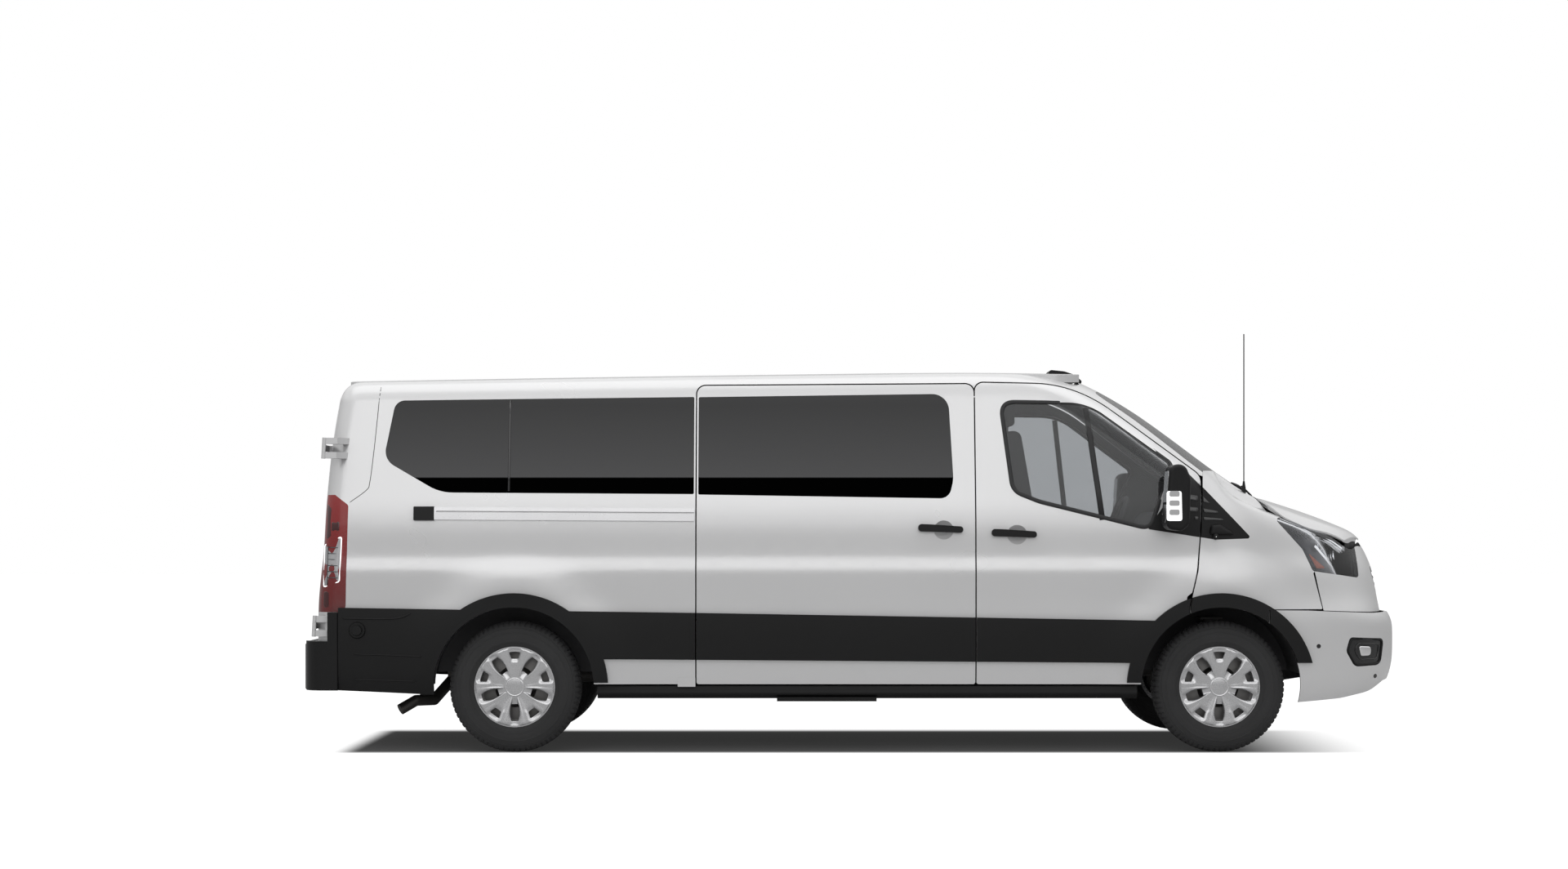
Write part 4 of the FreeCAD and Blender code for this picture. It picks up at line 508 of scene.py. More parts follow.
def bead(name, sign, points, width, height, material, closed, body, skin=BODY_SKIN):
    """Flat strip with rounded edges laid along side-view points."""
    path, normals = on_skin(points, sign, skin)
    half = width / 2
    profile = [(-half, -STRIP_FOOT), (-half, height * 0.5), (-half / 2, height), (half / 2, height),
               (half, height * 0.5), (half, -STRIP_FOOT)]
    return sweep(name, path, normals, profile, material, body, closed)


def turned(name, centre, across, other, axis, profile, turns, material, body, slot):
    """Turns (radius, place along the axis) points about a line, from across towards other."""
    vertices = []
    for i in range(turns):
        angle = 2 * math.pi * i / turns
        around = across * math.cos(angle) + other * math.sin(angle)
        vertices += [centre + around * radius + axis * out for radius, out in profile]
    faces = grid_faces(turns, len(profile), True, False)
    return piece(name, vertices, faces, material, body)


def dome(name, sign, points, height, material, body, skin=OUTER_SKIN):
    """Raised patch that swells towards its middle."""
    path, _ = on_skin(points, sign, skin)
    centre = sum(path, Vector()) / len(path)
    shares = [(1.0, -0.0015), (0.985, height * 0.35), (0.93, height * 0.7), (0.8, height * 0.93),
              (0.5, height)]
    vertices = []
    count = len(path)
    for share, lift in shares:
        for p in path:
            x, z = centre.x + (p.x - centre.x) * share, centre.z + (p.z - centre.z) * share
            found = skin.side(x, z, sign)
            y = found[0].y if found else p.y
            vertices.append(Vector((x, y + sign * lift, z)))
    middle = skin.side(centre.x, centre.z, sign)
    vertices.append(Vector((centre.x, (middle[0].y if middle else centre.y) + sign * height, centre.z)))
    faces = grid_faces(len(shares), count, False)
    last = (len(shares) - 1) * count
    faces += [(last + i, last + (i + 1) % count, len(vertices) - 1) for i in range(count)]
    sharpen(piece(name, vertices, faces, material, body), 50)


def plate(name, corners, place, thickness, material, body, bevel=0.001):
    """Flat rounded plate; place(a, b, out) gives its points in the row frame."""
    outline = rounded(corners, 0.006)
    count = len(outline)
    vertices = [place(a, b, out) for out in (0.0, thickness) for a, b in outline]
    faces = [tuple(range(count)), tuple(range(count, 2 * count))]
    faces += [(k, (k + 1) % count, count + (k + 1) % count, count + k) for k in range(count)]
    item = piece(name, vertices, faces, material, body, smooth=False)
    edges = item.modifiers.new("bevel", "BEVEL")
    edges.width = bevel
    edges.segments = 2
    edges.limit_method = "ANGLE"


# Tyres and wheels

TREAD_STEPS = 288
STEPS_PER_BLOCK = 4
TREAD_LEAN = 0.12
CENTRE_RIB = 0.022
SIDEWALL, SHOULDER, CROWN = range(3)


def tyre_profile():
    """(radius, offset from the middle, zone) over the outside, from one bead to the other."""
    half = TYRE_WIDTH / 2
    side = [(0.219, 0.018), (0.224, 0.0135), (0.232, 0.0105), (0.236, 0.007), (0.2385, 0.0068),
            (0.240, 0.0042), (0.249, 0.0018), (0.2505, 0.0022), (0.258, 0), (0.271, 0), (0.283, 0.0004),
            (0.2845, -0.0006), (0.288, -0.0006), (0.2895, 0.001), (0.300, 0.0035), (0.309, 0.0062),
            (0.3105, 0.005), (0.3135, 0.0062), (0.315, 0.0085), (0.324, 0.0125)]
    shoulder = [(0.330, 0.0165), (0.336, 0.022), (0.341, 0.029), (0.3445, 0.036)]
    crown = [(0.3465, 0.074), (0.3475, 0.066), (0.3478, 0.0615), (0.3398, 0.0605), (0.3398, 0.0545),
             (0.3488, 0.0535), (0.3495, 0.042), (0.3498, 0.0285), (0.3412, 0.0275), (0.3412, 0.0215),
             (0.3499, 0.0205), (0.35, 0.008), (0.35, 0.0)]
    outer = [(r, half - inset, SIDEWALL) for r, inset in side]
    outer += [(r, half - inset, SHOULDER) for r, inset in shoulder]
    outer += [(r, out, CROWN) for r, out in crown]
    return outer + [(r, -out, zone) for r, out, zone in reversed(outer[:-1])]


def groove(zone, out, step):
    """Depth of the tread's cross grooves: first the shoulder's and outer ribs', then the centre rib's."""
    if step == 0 and zone == SHOULDER:
        return 0.006
    if step == 0 and zone == CROWN and abs(out) > CENTRE_RIB:
        return 0.0055
    if step == 2 and zone == CROWN and abs(out) <= CENTRE_RIB:
        return 0.003
    return 0.0


def make_tyre(name, centre, body):
    """Tyre with ribs, cross grooves that lean over the crown, and a seat on the rim."""
    profile = tyre_profile()
    bead_seat = [(0.2165, -0.0985), (0.2165, 0.0985)]
    vertices = []
    for i in range(TREAD_STEPS):
        angle = 2 * math.pi * i / TREAD_STEPS
        for radius, out, zone in profile:
            r = radius - groove(zone, out, i % STEPS_PER_BLOCK)
            turn = angle + (out * TREAD_LEAN if zone == CROWN else 0.0)
            vertices.append(centre + Vector((r * math.cos(turn), out, r * math.sin(turn))))
        for r, out in bead_seat:
            vertices.append(centre + Vector((r * math.cos(angle), out, r * math.sin(angle))))
    faces = grid_faces(TREAD_STEPS, len(profile) + len(bead_seat), True)
    item = piece(name + "_rubber", vertices, faces, MATERIALS["tyre_rubber"], body)
    sharpen(item, 32)
    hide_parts(name)


# Radii of the wheel cover's rows, and from where to where its openings reach
COVER_ROWS = [0.0, 0.015, 0.030, 0.040, 0.0445, 0.0465, 0.050, 0.056, 0.066, 0.078, 0.088, 0.093, 0.104,
              0.118, 0.132, 0.146, 0.150, 0.158, 0.168, 0.178, 0.183, 0.187, 0.192, 0.198, 0.204, 0.209,
              0.213, 0.216]
HOLE_ROWS = {"large": (0.093, 0.183), "small": (0.150, 0.187)}
SECTORS = 10
CAP_EDGE = 0.0445
CAP_GROOVE = 0.0465
SMALL_POCKET_START = 0.143
ROLL_START = 0.204
COVER_RADIUS = 0.216

# How far the five columns of a sector stand out from the cover's face
LONG_OPENING = (-0.0120, -0.0105, 0.0010, 0.0036, 0.0005)
SHORT_OPENING = (-0.0105, -0.0090, 0.0008, 0.0022, 0.0006)
PLAIN_FACE = (-0.0012, -0.0010, -0.0004, 0.0006, 0.0005)


def sector_kind(sector):
    """Kind of opening in a sector of the wheel cover."""
    return "small" if sector % 2 == 0 else "large"


def hole_half_width(kind, r):
    """Half the width of an opening at a radius."""
    near, far = HOLE_ROWS[kind]
    share = (r - near) / (far - near)
    if kind == "large":
        return 0.0125 + 0.0105 * math.sin(math.pi * min(1, max(0, 0.12 + 0.8 * share)))
    return 0.0155 + 0.0115 * min(1, max(0, share))


def cover_height(kind, r, column):
    """How far the cover's face stands out; columns run from the sector's middle to its edge."""
    if r <= CAP_EDGE:
        return 0.0935 - 0.004 * (r / CAP_EDGE) ** 2
    if r <= CAP_GROOVE:
        return 0.0870
    base = 0.0865 + 0.0115 * min(1.0, (r - CAP_GROOVE) / 0.15) ** 1.3
    if r > ROLL_START:
        base -= 0.010 * ((r - ROLL_START) / (COVER_RADIUS - ROLL_START)) ** 1.5
    fade = min(1.0, max(0.0, (r - 0.050) / 0.020)) * min(1.0, max(0.0, (0.210 - r) / 0.012))
    if kind == "large":
        shape = LONG_OPENING
    elif r > SMALL_POCKET_START:
        shape = SHORT_OPENING
    else:
        shape = PLAIN_FACE
    if kind == "large" and r < 0.088:
        near = max(0.0, (r - 0.050) / 0.038)
        shape = tuple(v * (near if v < 0 else 0.4 + 0.6 * near) for v in shape)
    return base + shape[column] * fade


def cover_columns(kind, r):
    """Half widths of the five columns, from the sector's middle line to its border."""
    border = r * math.pi / SECTORS
    if kind == "small" and r <= SMALL_POCKET_START:
        inner = border * 0.30
    else:
        inner = min(hole_half_width(kind, r), border * 0.60)
    return [0.0, inner, inner + (border - inner) * 0.30, inner + (border - inner) * 0.62, border]


def make_cover(name, centre, sign, body):
    """Ten-pocket wheel cover with a domed cap: bright ridges round five long and five short openings."""
    vertices, faces, index = [], [], {}

    def vertex(row, sector, column, side):
        r = COVER_ROWS[row]
        kind = sector_kind(sector)
        key = (row, sector, column, side) if row else (0, 0, 0, 0)
        if column == 4 and row:
            key = (row, sector if side > 0 else (sector - 1) % SECTORS, 4, 1)
        if column == 0 and row:
            key = (row, sector, 0, 1)
        if key not in index:
            aside = side * cover_columns(kind, r)[column] / r if r else 0.0
            angle = math.radians(90 + 360 * sector / SECTORS) + aside
            height = cover_height(kind, r, column)
            if column == 4:
                height = (cover_height("small", r, 4) + cover_height("large", r, 4)) / 2
            index[key] = len(vertices)
            vertices.append(centre + Vector((r * math.cos(angle), sign * height, r * math.sin(angle))))
        return index[key]

    for sector in range(SECTORS):
        near, far = HOLE_ROWS[sector_kind(sector)]
        for row in range(len(COVER_ROWS) - 1):
            open_row = near <= COVER_ROWS[row] and COVER_ROWS[row + 1] <= far
            for side in (-1, 1):
                for column in range(1 if open_row else 0, 4):
                    face = [vertex(row, sector, column, side), vertex(row + 1, sector, column, side),
                            vertex(row + 1, sector, column + 1, side)]
                    if row > 0:
                        face.append(vertex(row, sector, column + 1, side))
                    faces.append(face if side > 0 else face[::-1])
    item = piece(name, vertices, faces, MATERIALS["wheel_silver"], body)
    solid = item.modifiers.new("thick", "SOLIDIFY")
    solid.thickness = 0.004
    solid.offset = -1 if sign < 0 else 1
    smooth = item.modifiers.new("smooth", "SUBSURF")
    smooth.levels = 2
    smooth.render_levels = 2


def make_wheel(name, centre, sign, body):
    """Rim, disc, cover and cap ring, turned about the axle; the offsets run outwards."""
    def turn(tag, profile, steps, material, slot):
        axes = (X_AXIS, Z_AXIS, Y_AXIS * sign)
        return turned(name + tag, centre, *axes, profile, steps, material, body, slot)

    rim = [(0.196, -0.095), (0.2155, -0.095), (0.2168, -0.091), (0.2155, -0.084), (0.205, -0.082),
           (0.203, -0.070), (0.196, -0.066), (0.186, -0.040), (0.186, 0.010), (0.190, 0.050), (0.202, 0.066),
           (0.205, 0.080), (0.2145, 0.084), (0.2160, 0.089), (0.2145, 0.095), (0.207, 0.0955),
           (0.200, 0.082), (0.186, 0.060), (0.178, 0.020), (0.178, -0.040), (0.188, -0.070), (0.196, -0.095)]
    disc = [(0.030, -0.058), (0.150, -0.058), (0.150, -0.046), (0.086, -0.046), (0.084, -0.010),
            (0.112, 0.024), (0.180, 0.020), (0.180, 0.014), (0.114, 0.016), (0.096, -0.004), (0.030, -0.004)]
    ring = [(0.0425, 0.086), (0.0435, 0.0915), (0.0465, 0.0935), (0.0495, 0.0915), (0.0505, 0.086)]
    barrel = turn("_rim", rim, 96, MATERIALS["wheel_silver"], "wheel_silver")
    sharpen(barrel, 40)
    sharpen(turn("_disc", disc, 72, BRAKE_STEEL, "cast_metal"), 40)
    make_cover(name + "_cover", centre, sign, body)
    turn("_cap_ring", ring, 64, CHROME, "wheel_silver")
    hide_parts(name)


def wheels():
    """A tyre and a wheel at each corner."""
    for end, axle_x, track in (("front", FRONT_AXLE_X, FRONT_TRACK), ("rear", REAR_AXLE_X, REAR_TRACK)):
        for side, sign in (("right", -1), ("left", 1)):
            centre = Vector((axle_x, sign * track / 2, WHEEL_HEIGHT))
            body = "wheel_%s_%s" % (end, side)
            make_tyre("tyre_%s_%s" % (end, side), centre, body)
            make_wheel(body, centre, sign, body)


wheels()


# Windows and their seals

def front_glass_outline():
    """Side-view outline of the front door's glass."""
    fx = FRONT_AXLE_X
    return rounded([(fx - 1.161, 1.872, 0.07), (fx - 1.100, 1.392, 0.09), (fx - 0.960, 1.336, 0.16),
                    (fx - 0.374, 1.190, 0.06), (fx - 0.243, 1.540, 0.04), (fx - 0.690, 1.866, 0.33)])


def rim_path(points, sign, beyond=0.012):
    """Outline points at the height of the panel just outside them."""
    centre_x = sum(p[0] for p in points) / len(points)
    centre_z = sum(p[1] for p in points) / len(points)
    path, normals = [], []
    for x, z in points:
        away = Vector((x - centre_x, z - centre_z)).normalized() * beyond
        found = BODY_SKIN.side(x + away.x, z + away.y, sign)
        if found:
            path.append(Vector((x, found[0].y, z)))
            normals.append(found[1])
    return path, normals


def window_seal(name, sign, body):
    """Rubber lip along the edge of the front door's glass."""
    path, normals = rim_path(front_glass_outline(), sign)
    half, foot, edge, top = 0.011, -0.008, 0.0012, 0.0042
    profile = [(-half, foot), (-half, edge), (-half * 0.6, top), (half * 0.6, top), (half, edge),
               (half, foot)]
    sweep(name, path, normals, profile, SEAL_RUBBER, body)


def window_bar(name, sign, body):
    """Upright bar between the front door's glass and its fixed corner."""
    line = [(1.264, 1.838), (1.284, 1.690), (1.303, 1.540), (1.323, 1.390), (1.342, 1.238)]
    bead(name, sign, line, 0.030, 0.004, SEAL_RUBBER, False, body)


def quarter_bar(name, sign, body):
    """Thin bar between the two panes behind the sliding door."""
    line = [(-1.815, 1.392 + 0.081 * k) for k in range(7)]
    bead(name, sign, line, 0.012, 0.003, GLOSS_BLACK, False, body)


both_sides(window_seal, "front_window_seal", "front_door")
both_sides(window_bar, "front_window_bar", "front_door")
both_sides(quarter_bar, "rear_window_bar")


# Wipers on the windscreen

WIPER_FOOT_X = 2.272
WIPER_FOOT_Z = 1.350
BLADE_Z = 1.388
BLADE_RISE = 0.040


def wiper(name, pivot_y, reach):
    """Blade that rests on the glass, and the arm that holds it from its pivot on the scuttle."""
    steps = 14
    line = [(pivot_y + 0.02 - reach * k / steps, BLADE_Z + BLADE_RISE * k / steps) for k in range(steps + 1)]
    path, normals = path_through(SCREEN_SKIN.front(y, z) for y, z in line)
    half_blade = [(0.004, -0.001), (0.004, 0.006), (0.009, 0.009), (0.006, 0.016)]
    rubber = [(-a, b) for a, b in half_blade] + half_blade[::-1]
    sweep(name + "_blade", path, normals, rubber, SEAL_RUBBER, "body", False)
    middle = len(path) // 2
    start = Vector((WIPER_FOOT_X, pivot_y, WIPER_FOOT_Z))
    end = path[middle] + normals[middle] * 0.020
    bend = start.lerp(end, 0.25) + normals[0] * 0.016
    arm = [start, start.lerp(bend, 0.5), bend, bend.lerp(end, 0.5), end]
    bar = [(-0.008, -0.004), (-0.008, 0.004), (0.008, 0.004), (0.008, -0.004)]
    sweep(name + "_arm", arm, [normals[0]] * len(arm), bar, BLACK_TRIM, "body", False)
    cap = [(0.0, 0.012), (0.012, 0.010), (0.016, 0.004), (0.016, -0.016)]
    turned(name + "_pivot", start, X_AXIS, Y_AXIS, Z_AXIS, cap, 20, BLACK_TRIM, "body", "black_trim")


wiper("wiper_right", -0.12, 0.58)
wiper("wiper_left", 0.50, 0.60)


# Mirrors

MIRROR_OUTER_Y = 1.2365
MIRROR_BACK_X = 1.6445
MIRROR_MIDDLE_Z = 1.19
MIRROR_LEAN = 0.0655


def mirror_details(name, sign, body):
    """Turn lamp on the mirror's outer end, and the two mirror glasses on its back."""
    def on_end(x, z, out):
        return Vector((x, sign * (MIRROR_OUTER_Y + out), z))

    def on_back(y, z, out):
        return Vector((MIRROR_BACK_X + (z - MIRROR_MIDDLE_Z) * MIRROR_LEAN - out, sign * y, z))

    lamp = [(1.648, 1.388, 0.014), (1.726, 1.388, 0.014), (1.730, 1.232, 0.014), (1.648, 1.232, 0.014)]
    plate(name + "_turn_lamp", lamp, on_end, 0.005, LED_WHITE, body, 0.002)
    for k in range(3):
        z = 1.262 + 0.048 * k
        facet = rectangle(1.662, 1.716, z, z + 0.030, 0.006)
        plate(name + "_lamp_facet_%d" % (k + 1), facet, lambda x, z, out: on_end(x, z, out + 0.0052), 0.0012,
              CHROME, body, 0.0005)
    for tag, corners in (("_mirror_glass", rectangle(1.058, 1.214, 1.330, 1.495, 0.03, 0.02)),
                         ("_wide_glass", rectangle(1.058, 1.214, 1.222, 1.318, 0.02, 0.03))):
        plate(name + tag, corners, on_back, 0.002, CHROME, body)


both_sides(mirror_details, "mirror", "front_door")


# Black corner trim in front of the doors

def gloss_ribs(name, sign, body, ribs):
    """Flat ribs in gloss black, numbered from the top."""
    for k, points in enumerate(ribs):
        rib = outline(points, 0.004)
        dome(name + "_rib_%d" % (k + 1), sign, rib, 0.004, GLOSS_BLACK, body)


def fender_sail(name, sign, body):
    """Ribs and a small camera pod on the black corner ahead of the front door."""
    gloss_ribs(name, sign, body, [
        [(1.877, 1.366), (1.921, 1.322), (1.877, 1.334)],
        [(1.877, 1.300), (1.955, 1.285), (1.960, 1.272), (1.877, 1.278)],
        [(1.877, 1.254), (1.980, 1.245), (1.990, 1.234), (1.877, 1.236)]])
    pod = rounded([(1.918, 1.212, 0.02), (1.965, 1.216, 0.02), (2.025, 1.178, 0.01), (2.040, 1.160, 0.01),
                   (1.905, 1.158, 0.02)], 0.006)
    dome(name + "_pod", sign, pod, 0.020, BLACK_TRIM, body)
    dome(name + "_eye", sign, disc_points(1.942, 1.150, 0.018, 20), 0.024, BLACK_TRIM, body)
    dome(name + "_lens", sign, disc_points(1.942, 1.148, 0.005, 16), 0.0262, CHROME, body)


def door_sail(name, sign, body):
    """The same ribs carried on over the front door's corner."""
    gloss_ribs(name, sign, body, [
        [(1.800, 1.374), (1.852, 1.366), (1.852, 1.338), (1.800, 1.346)],
        [(1.786, 1.310), (1.852, 1.303), (1.852, 1.280), (1.786, 1.284)],
        [(1.830, 1.258), (1.852, 1.256), (1.852, 1.237), (1.830, 1.240)]])


both_sides(fender_sail, "fender_sail")
both_sides(door_sail, "door_sail", "front_door")


# Headlamps

LED_DEPTH = 0.020
AMBER_DEPTH = 0.022
RIB_DEPTH = 0.026
PROJECTOR_DEPTH = 0.030
LAMP_EDGE = [(2.280, 1.236), (2.350, 1.222), (2.431, 1.203), (2.500, 1.182), (2.555, 1.163), (2.610, 1.139),
             (2.655, 1.114), (2.690, 1.086), (2.715, 1.052), (2.732, 1.005), (2.734, 0.962), (2.728, 0.940),
             (2.680, 0.949), (2.621, 0.958), (2.545, 0.968), (2.480, 0.976), (2.448, 1.020), (2.415, 1.085),
             (2.375, 1.135), (2.325, 1.190)]


def lamp_point(x, z, sign, depth):
    """Point some way behind the lens, with the lens's normal."""
    found = HEADLAMP_SKIN.side(x, z, sign)
    if found is None:
        return None
    return found[0] - found[1] * depth, found[1]


def lamp_bowl(name, sign, body):
    """Grey housing behind the lens: a wall round its edge and a stepped back."""
    rings = [(1.0, 0.0115), (0.97, 0.030), (0.90, 0.034), (0.86, 0.044), (0.6, 0.050), (0.3, 0.052)]
    edge = [p for p in LAMP_EDGE if HEADLAMP_SKIN.side(p[0], p[1], sign)]
    count = len(edge)
    middle_x = sum(p[0] for p in edge) / count
    middle_z = sum(p[1] for p in edge) / count
    vertices = []
    for share, depth in rings:
        for x, z in edge:
            x = middle_x + (x - middle_x) * share
            z = middle_z + (z - middle_z) * share
            vertices.append(lamp_point(x, z, sign, depth)[0])
    faces = grid_faces(len(rings), count, False)
    faces.append(tuple((len(rings) - 1) * count + i for i in range(count)))
    sharpen(piece(name + "_bowl", vertices, faces, LAMP_GREY, body), 30)


def lamp_strip(name, sign, points, width, depth, material, body):
    """Light guide or rib that runs inside the lens."""
    path, normals = on_skin(points, sign, InsideLamp(depth))
    half = width / 2
    profile = [(-half, -STRIP_FOOT), (-half, 0.001), (0.0, 0.003), (half, 0.001), (half, -STRIP_FOOT)]
    sweep(name, path, normals, profile, material, body, False)


class InsideLamp:
    """Stands for a skin that lies some way behind the headlamp's lens."""

    def __init__(self, depth):
        self.depth = depth

    def side(self, x, z, sign):
        return lamp_point(x, z, sign, self.depth)


def projector(name, x, z, sign, forward, radius, body):
    """Round glass lens in a bright ring, turned from the lens's normal towards the front."""
    centre, normal = lamp_point(x, z, sign, PROJECTOR_DEPTH)
    direction = (normal + X_AXIS * forward).normalized()
    side = direction.orthogonal().normalized()
    axes = (side, direction.cross(side), direction)
    ring = [(radius * 1.02, -0.020), (radius * 1.25, -0.018), (radius * 1.28, -0.004),
            (radius * 1.12, 0.002), (radius * 1.0, -0.004)]
    bulge = [0.2 * k for k in range(8)]
    lens = [(radius * math.sin(a), radius * (0.45 * math.cos(a) - 0.25)) for a in bulge]
    turned(name + "_ring", centre, *axes, ring, 32, CHROME, body, "bright_rail")
    turned(name + "_lens", centre, *axes, lens, 32, GLOSS_BLACK, body, "lamp_clear")


def headlamp(name, sign, body):
    """What shows through the lens: housing, two light guides, ribs, amber lamp and two projectors."""
    lamp_bowl(name, sign, body)
    upper = [(2.490, 1.159), (2.560, 1.146), (2.636, 1.122), (2.690, 1.086), (2.714, 1.050), (2.722, 0.962)]
    lower = [(2.500, 1.106), (2.560, 1.040), (2.604, 0.990), (2.650, 0.969), (2.718, 0.957)]
    for tag, line, width in (("_led_upper", upper, 0.013), ("_led_lower", lower, 0.011)):
        lamp_strip(name + tag, sign, smooth_line(line), width, LED_DEPTH, LED_WHITE, body)
    for k in range(6):
        line = [(2.318 + 0.026 * k, 1.205 - 0.006 * k), (2.352 + 0.026 * k, 1.168 - 0.006 * k)]
        lamp_strip(name + "_rib_%d" % (k + 1), sign, smooth_line(line, 4), 0.006, RIB_DEPTH, GLOSS_BLACK,
                   body)
    amber = outline([(2.452, 1.072), (2.556, 0.985), (2.500, 0.985)], 0.006)
    dome(name + "_amber", sign, amber, 0.003, AMBER, body, InsideLamp(AMBER_DEPTH))
    projector(name + "_projector", 2.635, 1.047, sign, 1.2, 0.040, body)
    projector(name + "_side_projector", 2.540, 1.110, sign, 0.8, 0.022, body)


both_sides(headlamp, "headlamp")


# Front bumper: fog lamps and parking sensors

def bumper_details(name, sign, body):
    """Rims and lens of the fog lamp, and two parking sensors."""
    hx = HALF_LENGTH
    outer = rounded([(hx - 0.320, 0.606, 0.022), (hx - 0.130, 0.597, 0.022), (hx - 0.147, 0.470, 0.035),
                     (hx - 0.295, 0.464, 0.035), (hx - 0.342, 0.540, 0.035)])
    inner = rounded([(hx - 0.285, 0.582, 0.016), (hx - 0.152, 0.576, 0.016), (hx - 0.165, 0.496, 0.022),
                     (hx - 0.270, 0.494, 0.022), (hx - 0.300, 0.540, 0.03)])
    bead(name + "_fog_rim", sign, outer, 0.012, 0.008, BLACK_TRIM, True, body)
    bead(name + "_fog_inner_rim", sign, inner, 0.006, 0.005, GLOSS_BLACK, True, body)
    lens = rounded([(hx - 0.276, 0.566, 0.012), (hx - 0.200, 0.562, 0.02), (hx - 0.204, 0.514, 0.02),
                    (hx - 0.262, 0.512, 0.012)], 0.006)
    dome(name + "_fog_lens", sign, lens, 0.004, CHROME, body)
    for k, (x, z) in enumerate(((2.488, 0.568), (2.820, 0.402))):
        disc = disc_points(x, z, 0.012, 24)
        dome(name + "_sensor_%d" % (k + 1), sign, disc, 0.0012, GLOSS_BLACK, body)


both_sides(bumper_details, "bumper")


# Tail lamps

def tail_lamp(name, sign, body):
    """Clear part with its edge and ribs, and the darker blocks of the red part."""
    def line(tag, points, material, closed=False):
        width = 0.006 if closed else 0.005
        bead(name + tag, sign, points, width, 0.0035, material, closed, body)

    clear = outline([(-2.800, 1.104), (-2.702, 1.150), (-2.712, 0.911), (-2.800, 0.880)], 0.008, 0.008)
    dome(name + "_clear", sign, clear, 0.0016, LAMP_SILVER, body, BODY_SKIN)
    line("_clear_edge", clear, LED_WHITE, True)
    for k in range(6):
        z = 0.930 + 0.032 * k
        line("_rib_%d" % (k + 1), [(-2.776, z + 0.002), (-2.748, z + 0.001), (-2.722, z)], LAMP_GREY)
    line("_post", [(-2.778, 0.890 + 0.035 * k) for k in range(7)], LAMP_GREY)
    dark = [("_lower_block", 0.008, [(-2.800, 0.858), (-2.770, 0.858), (-2.770, 0.772), (-2.800, 0.772)]),
            ("_upper_block", 0.008, [(-2.790, 1.330), (-2.762, 1.300), (-2.762, 1.150), (-2.790, 1.130)]),
            ("_stop_block", 0.006, [(-2.760, 1.226), (-2.715, 1.230), (-2.715, 1.180), (-2.760, 1.178)])]
    for tag, radius, points in dark:
        block = outline(points, radius, 0.008)
        dome(name + tag, sign, block, 0.0012, DEEP_RED, body, BODY_SKIN)


both_sides(tail_lamp, "tail_lamp")


# Pressed lines of the lower body's black cladding

def cladding_lines(name, sign, body):
    """Two pressed lines and a lip behind the rear wheel."""
    upper = [(-2.632, 0.533), (-2.610, 0.526), (-2.480, 0.522), (-2.350, 0.517), (-2.272, 0.514)]
    lower = [(-2.632, 0.392), (-2.560, 0.389), (-2.440, 0.386), (-2.300, 0.382)]
    lip = [(-2.690, 0.716), (-2.560, 0.714), (-2.440, 0.714), (-2.375, 0.722), (-2.330, 0.742)]
    for tag, points, steps, width, height in (("_upper_line", upper, 4, 0.007, 0.0035),
                                              ("_lower_line", lower, 4, 0.007, 0.0035),
                                              ("_lip", lip, 6, 0.008, 0.005)):
        bead(name + tag, sign, smooth_line(points, steps), width, height, BLACK_TRIM, False,
             body, OUTER_SKIN)


both_sides(cladding_lines, "cladding")


# Thin seam in the paint

def pillar_seam(name, sign, body):
    """Seam down the rear pillar, where the panels don't part."""
    line = smooth_line([(-2.514, 1.950), (-2.524, 1.800), (-2.540, 1.600), (-2.557, 1.441), (-2.574, 1.397),
                        (-2.661, 1.332)])
    bead(name + "_rear_pillar", sign, line, 0.0035, 0.0004, DARK_GAP, False, body)


both_sides(pillar_seam, "seam")


# Rear doors: handle and high stop lamp

def rear_details():
    """Handle on the right rear door, and the stop lamp above the doors."""
    def on_door(y, z, out):
        return BODY_SKIN.rear(y, z)[0] - X_AXIS * out

    def on_base(y, z, out):
        return on_door(y, z, out + 0.006)

    plate("rear_handle_base", rectangle(-0.235, -0.055, 1.062, 1.118, 0.012), on_door, 0.006, BLACK_TRIM,
          "rear_door_right")
    plate("rear_handle_grip", rectangle(-0.225, -0.065, 1.080, 1.110, 0.012), on_base, 0.022, GLOSS_BLACK,
          "rear_door_right", 0.003)
    plate("high_stop_lamp", rectangle(-0.150, 0.150, 1.966, 1.982, 0.006), on_door, 0.008,
          MATERIALS["lamp_red"], "body")


rear_details()


# Radiator behind the grille

RADIATOR_X = 2.772


def radiator():
    """Finned core that shows between the grille's bars."""
    def flat(y, z, out):
        return Vector((RADIATOR_X + out, y, z))

    core = rectangle(-0.450, 0.450, 0.700, 1.030, 0.01)
    plate("radiator_core", core, flat, 0.020, RADIATOR, "body")


radiator()


# Seal in the slot between the bonnet's lip and the fascia, and the foot of the post behind the sliding door

SEAL_SET_BACK = 0.012
SEAL_THICKNESS = 0.006
FOOT_LOW, FOOT_HIGH = 0.352, 0.401
FOOT_Y = -0.9842
FOOT_LEAN = 0.11


def slot_seal():
    """Dark wall that closes the slot under the bonnet's front lip."""
    vertices = []
    steps = 36
    for i in range(steps + 1):
        y = -0.70 + 1.40 * i / steps
        under = [2.50 + 0.004 * k for k in range(90)]
        lip = max(x for x in under if BONNET_SKIN.hit((x, y, 0.95), Z_AXIS))
        back = lip - SEAL_SET_BACK
        top = BONNET_SKIN.hit((back, y, 0.95), Z_AXIS)[0].z - 0.005
        edges = [FASCIA_SKIN.top(lip + 0.004 * k, y) for k in range(20)]
        low = max(e[0].z for e in edges if e) - 0.030
        far = back - SEAL_THICKNESS
        vertices += [(back, y, top), (back, y, low), (far, y, low), (far, y, top)]
    faces = grid_faces(steps + 1, 4, False)
    faces += [(0, 1, 2, 3), tuple(4 * steps + k for k in (0, 3, 2, 1))]
    piece("slot_seal", vertices, faces, SEAL_RUBBER, "body", smooth=False)


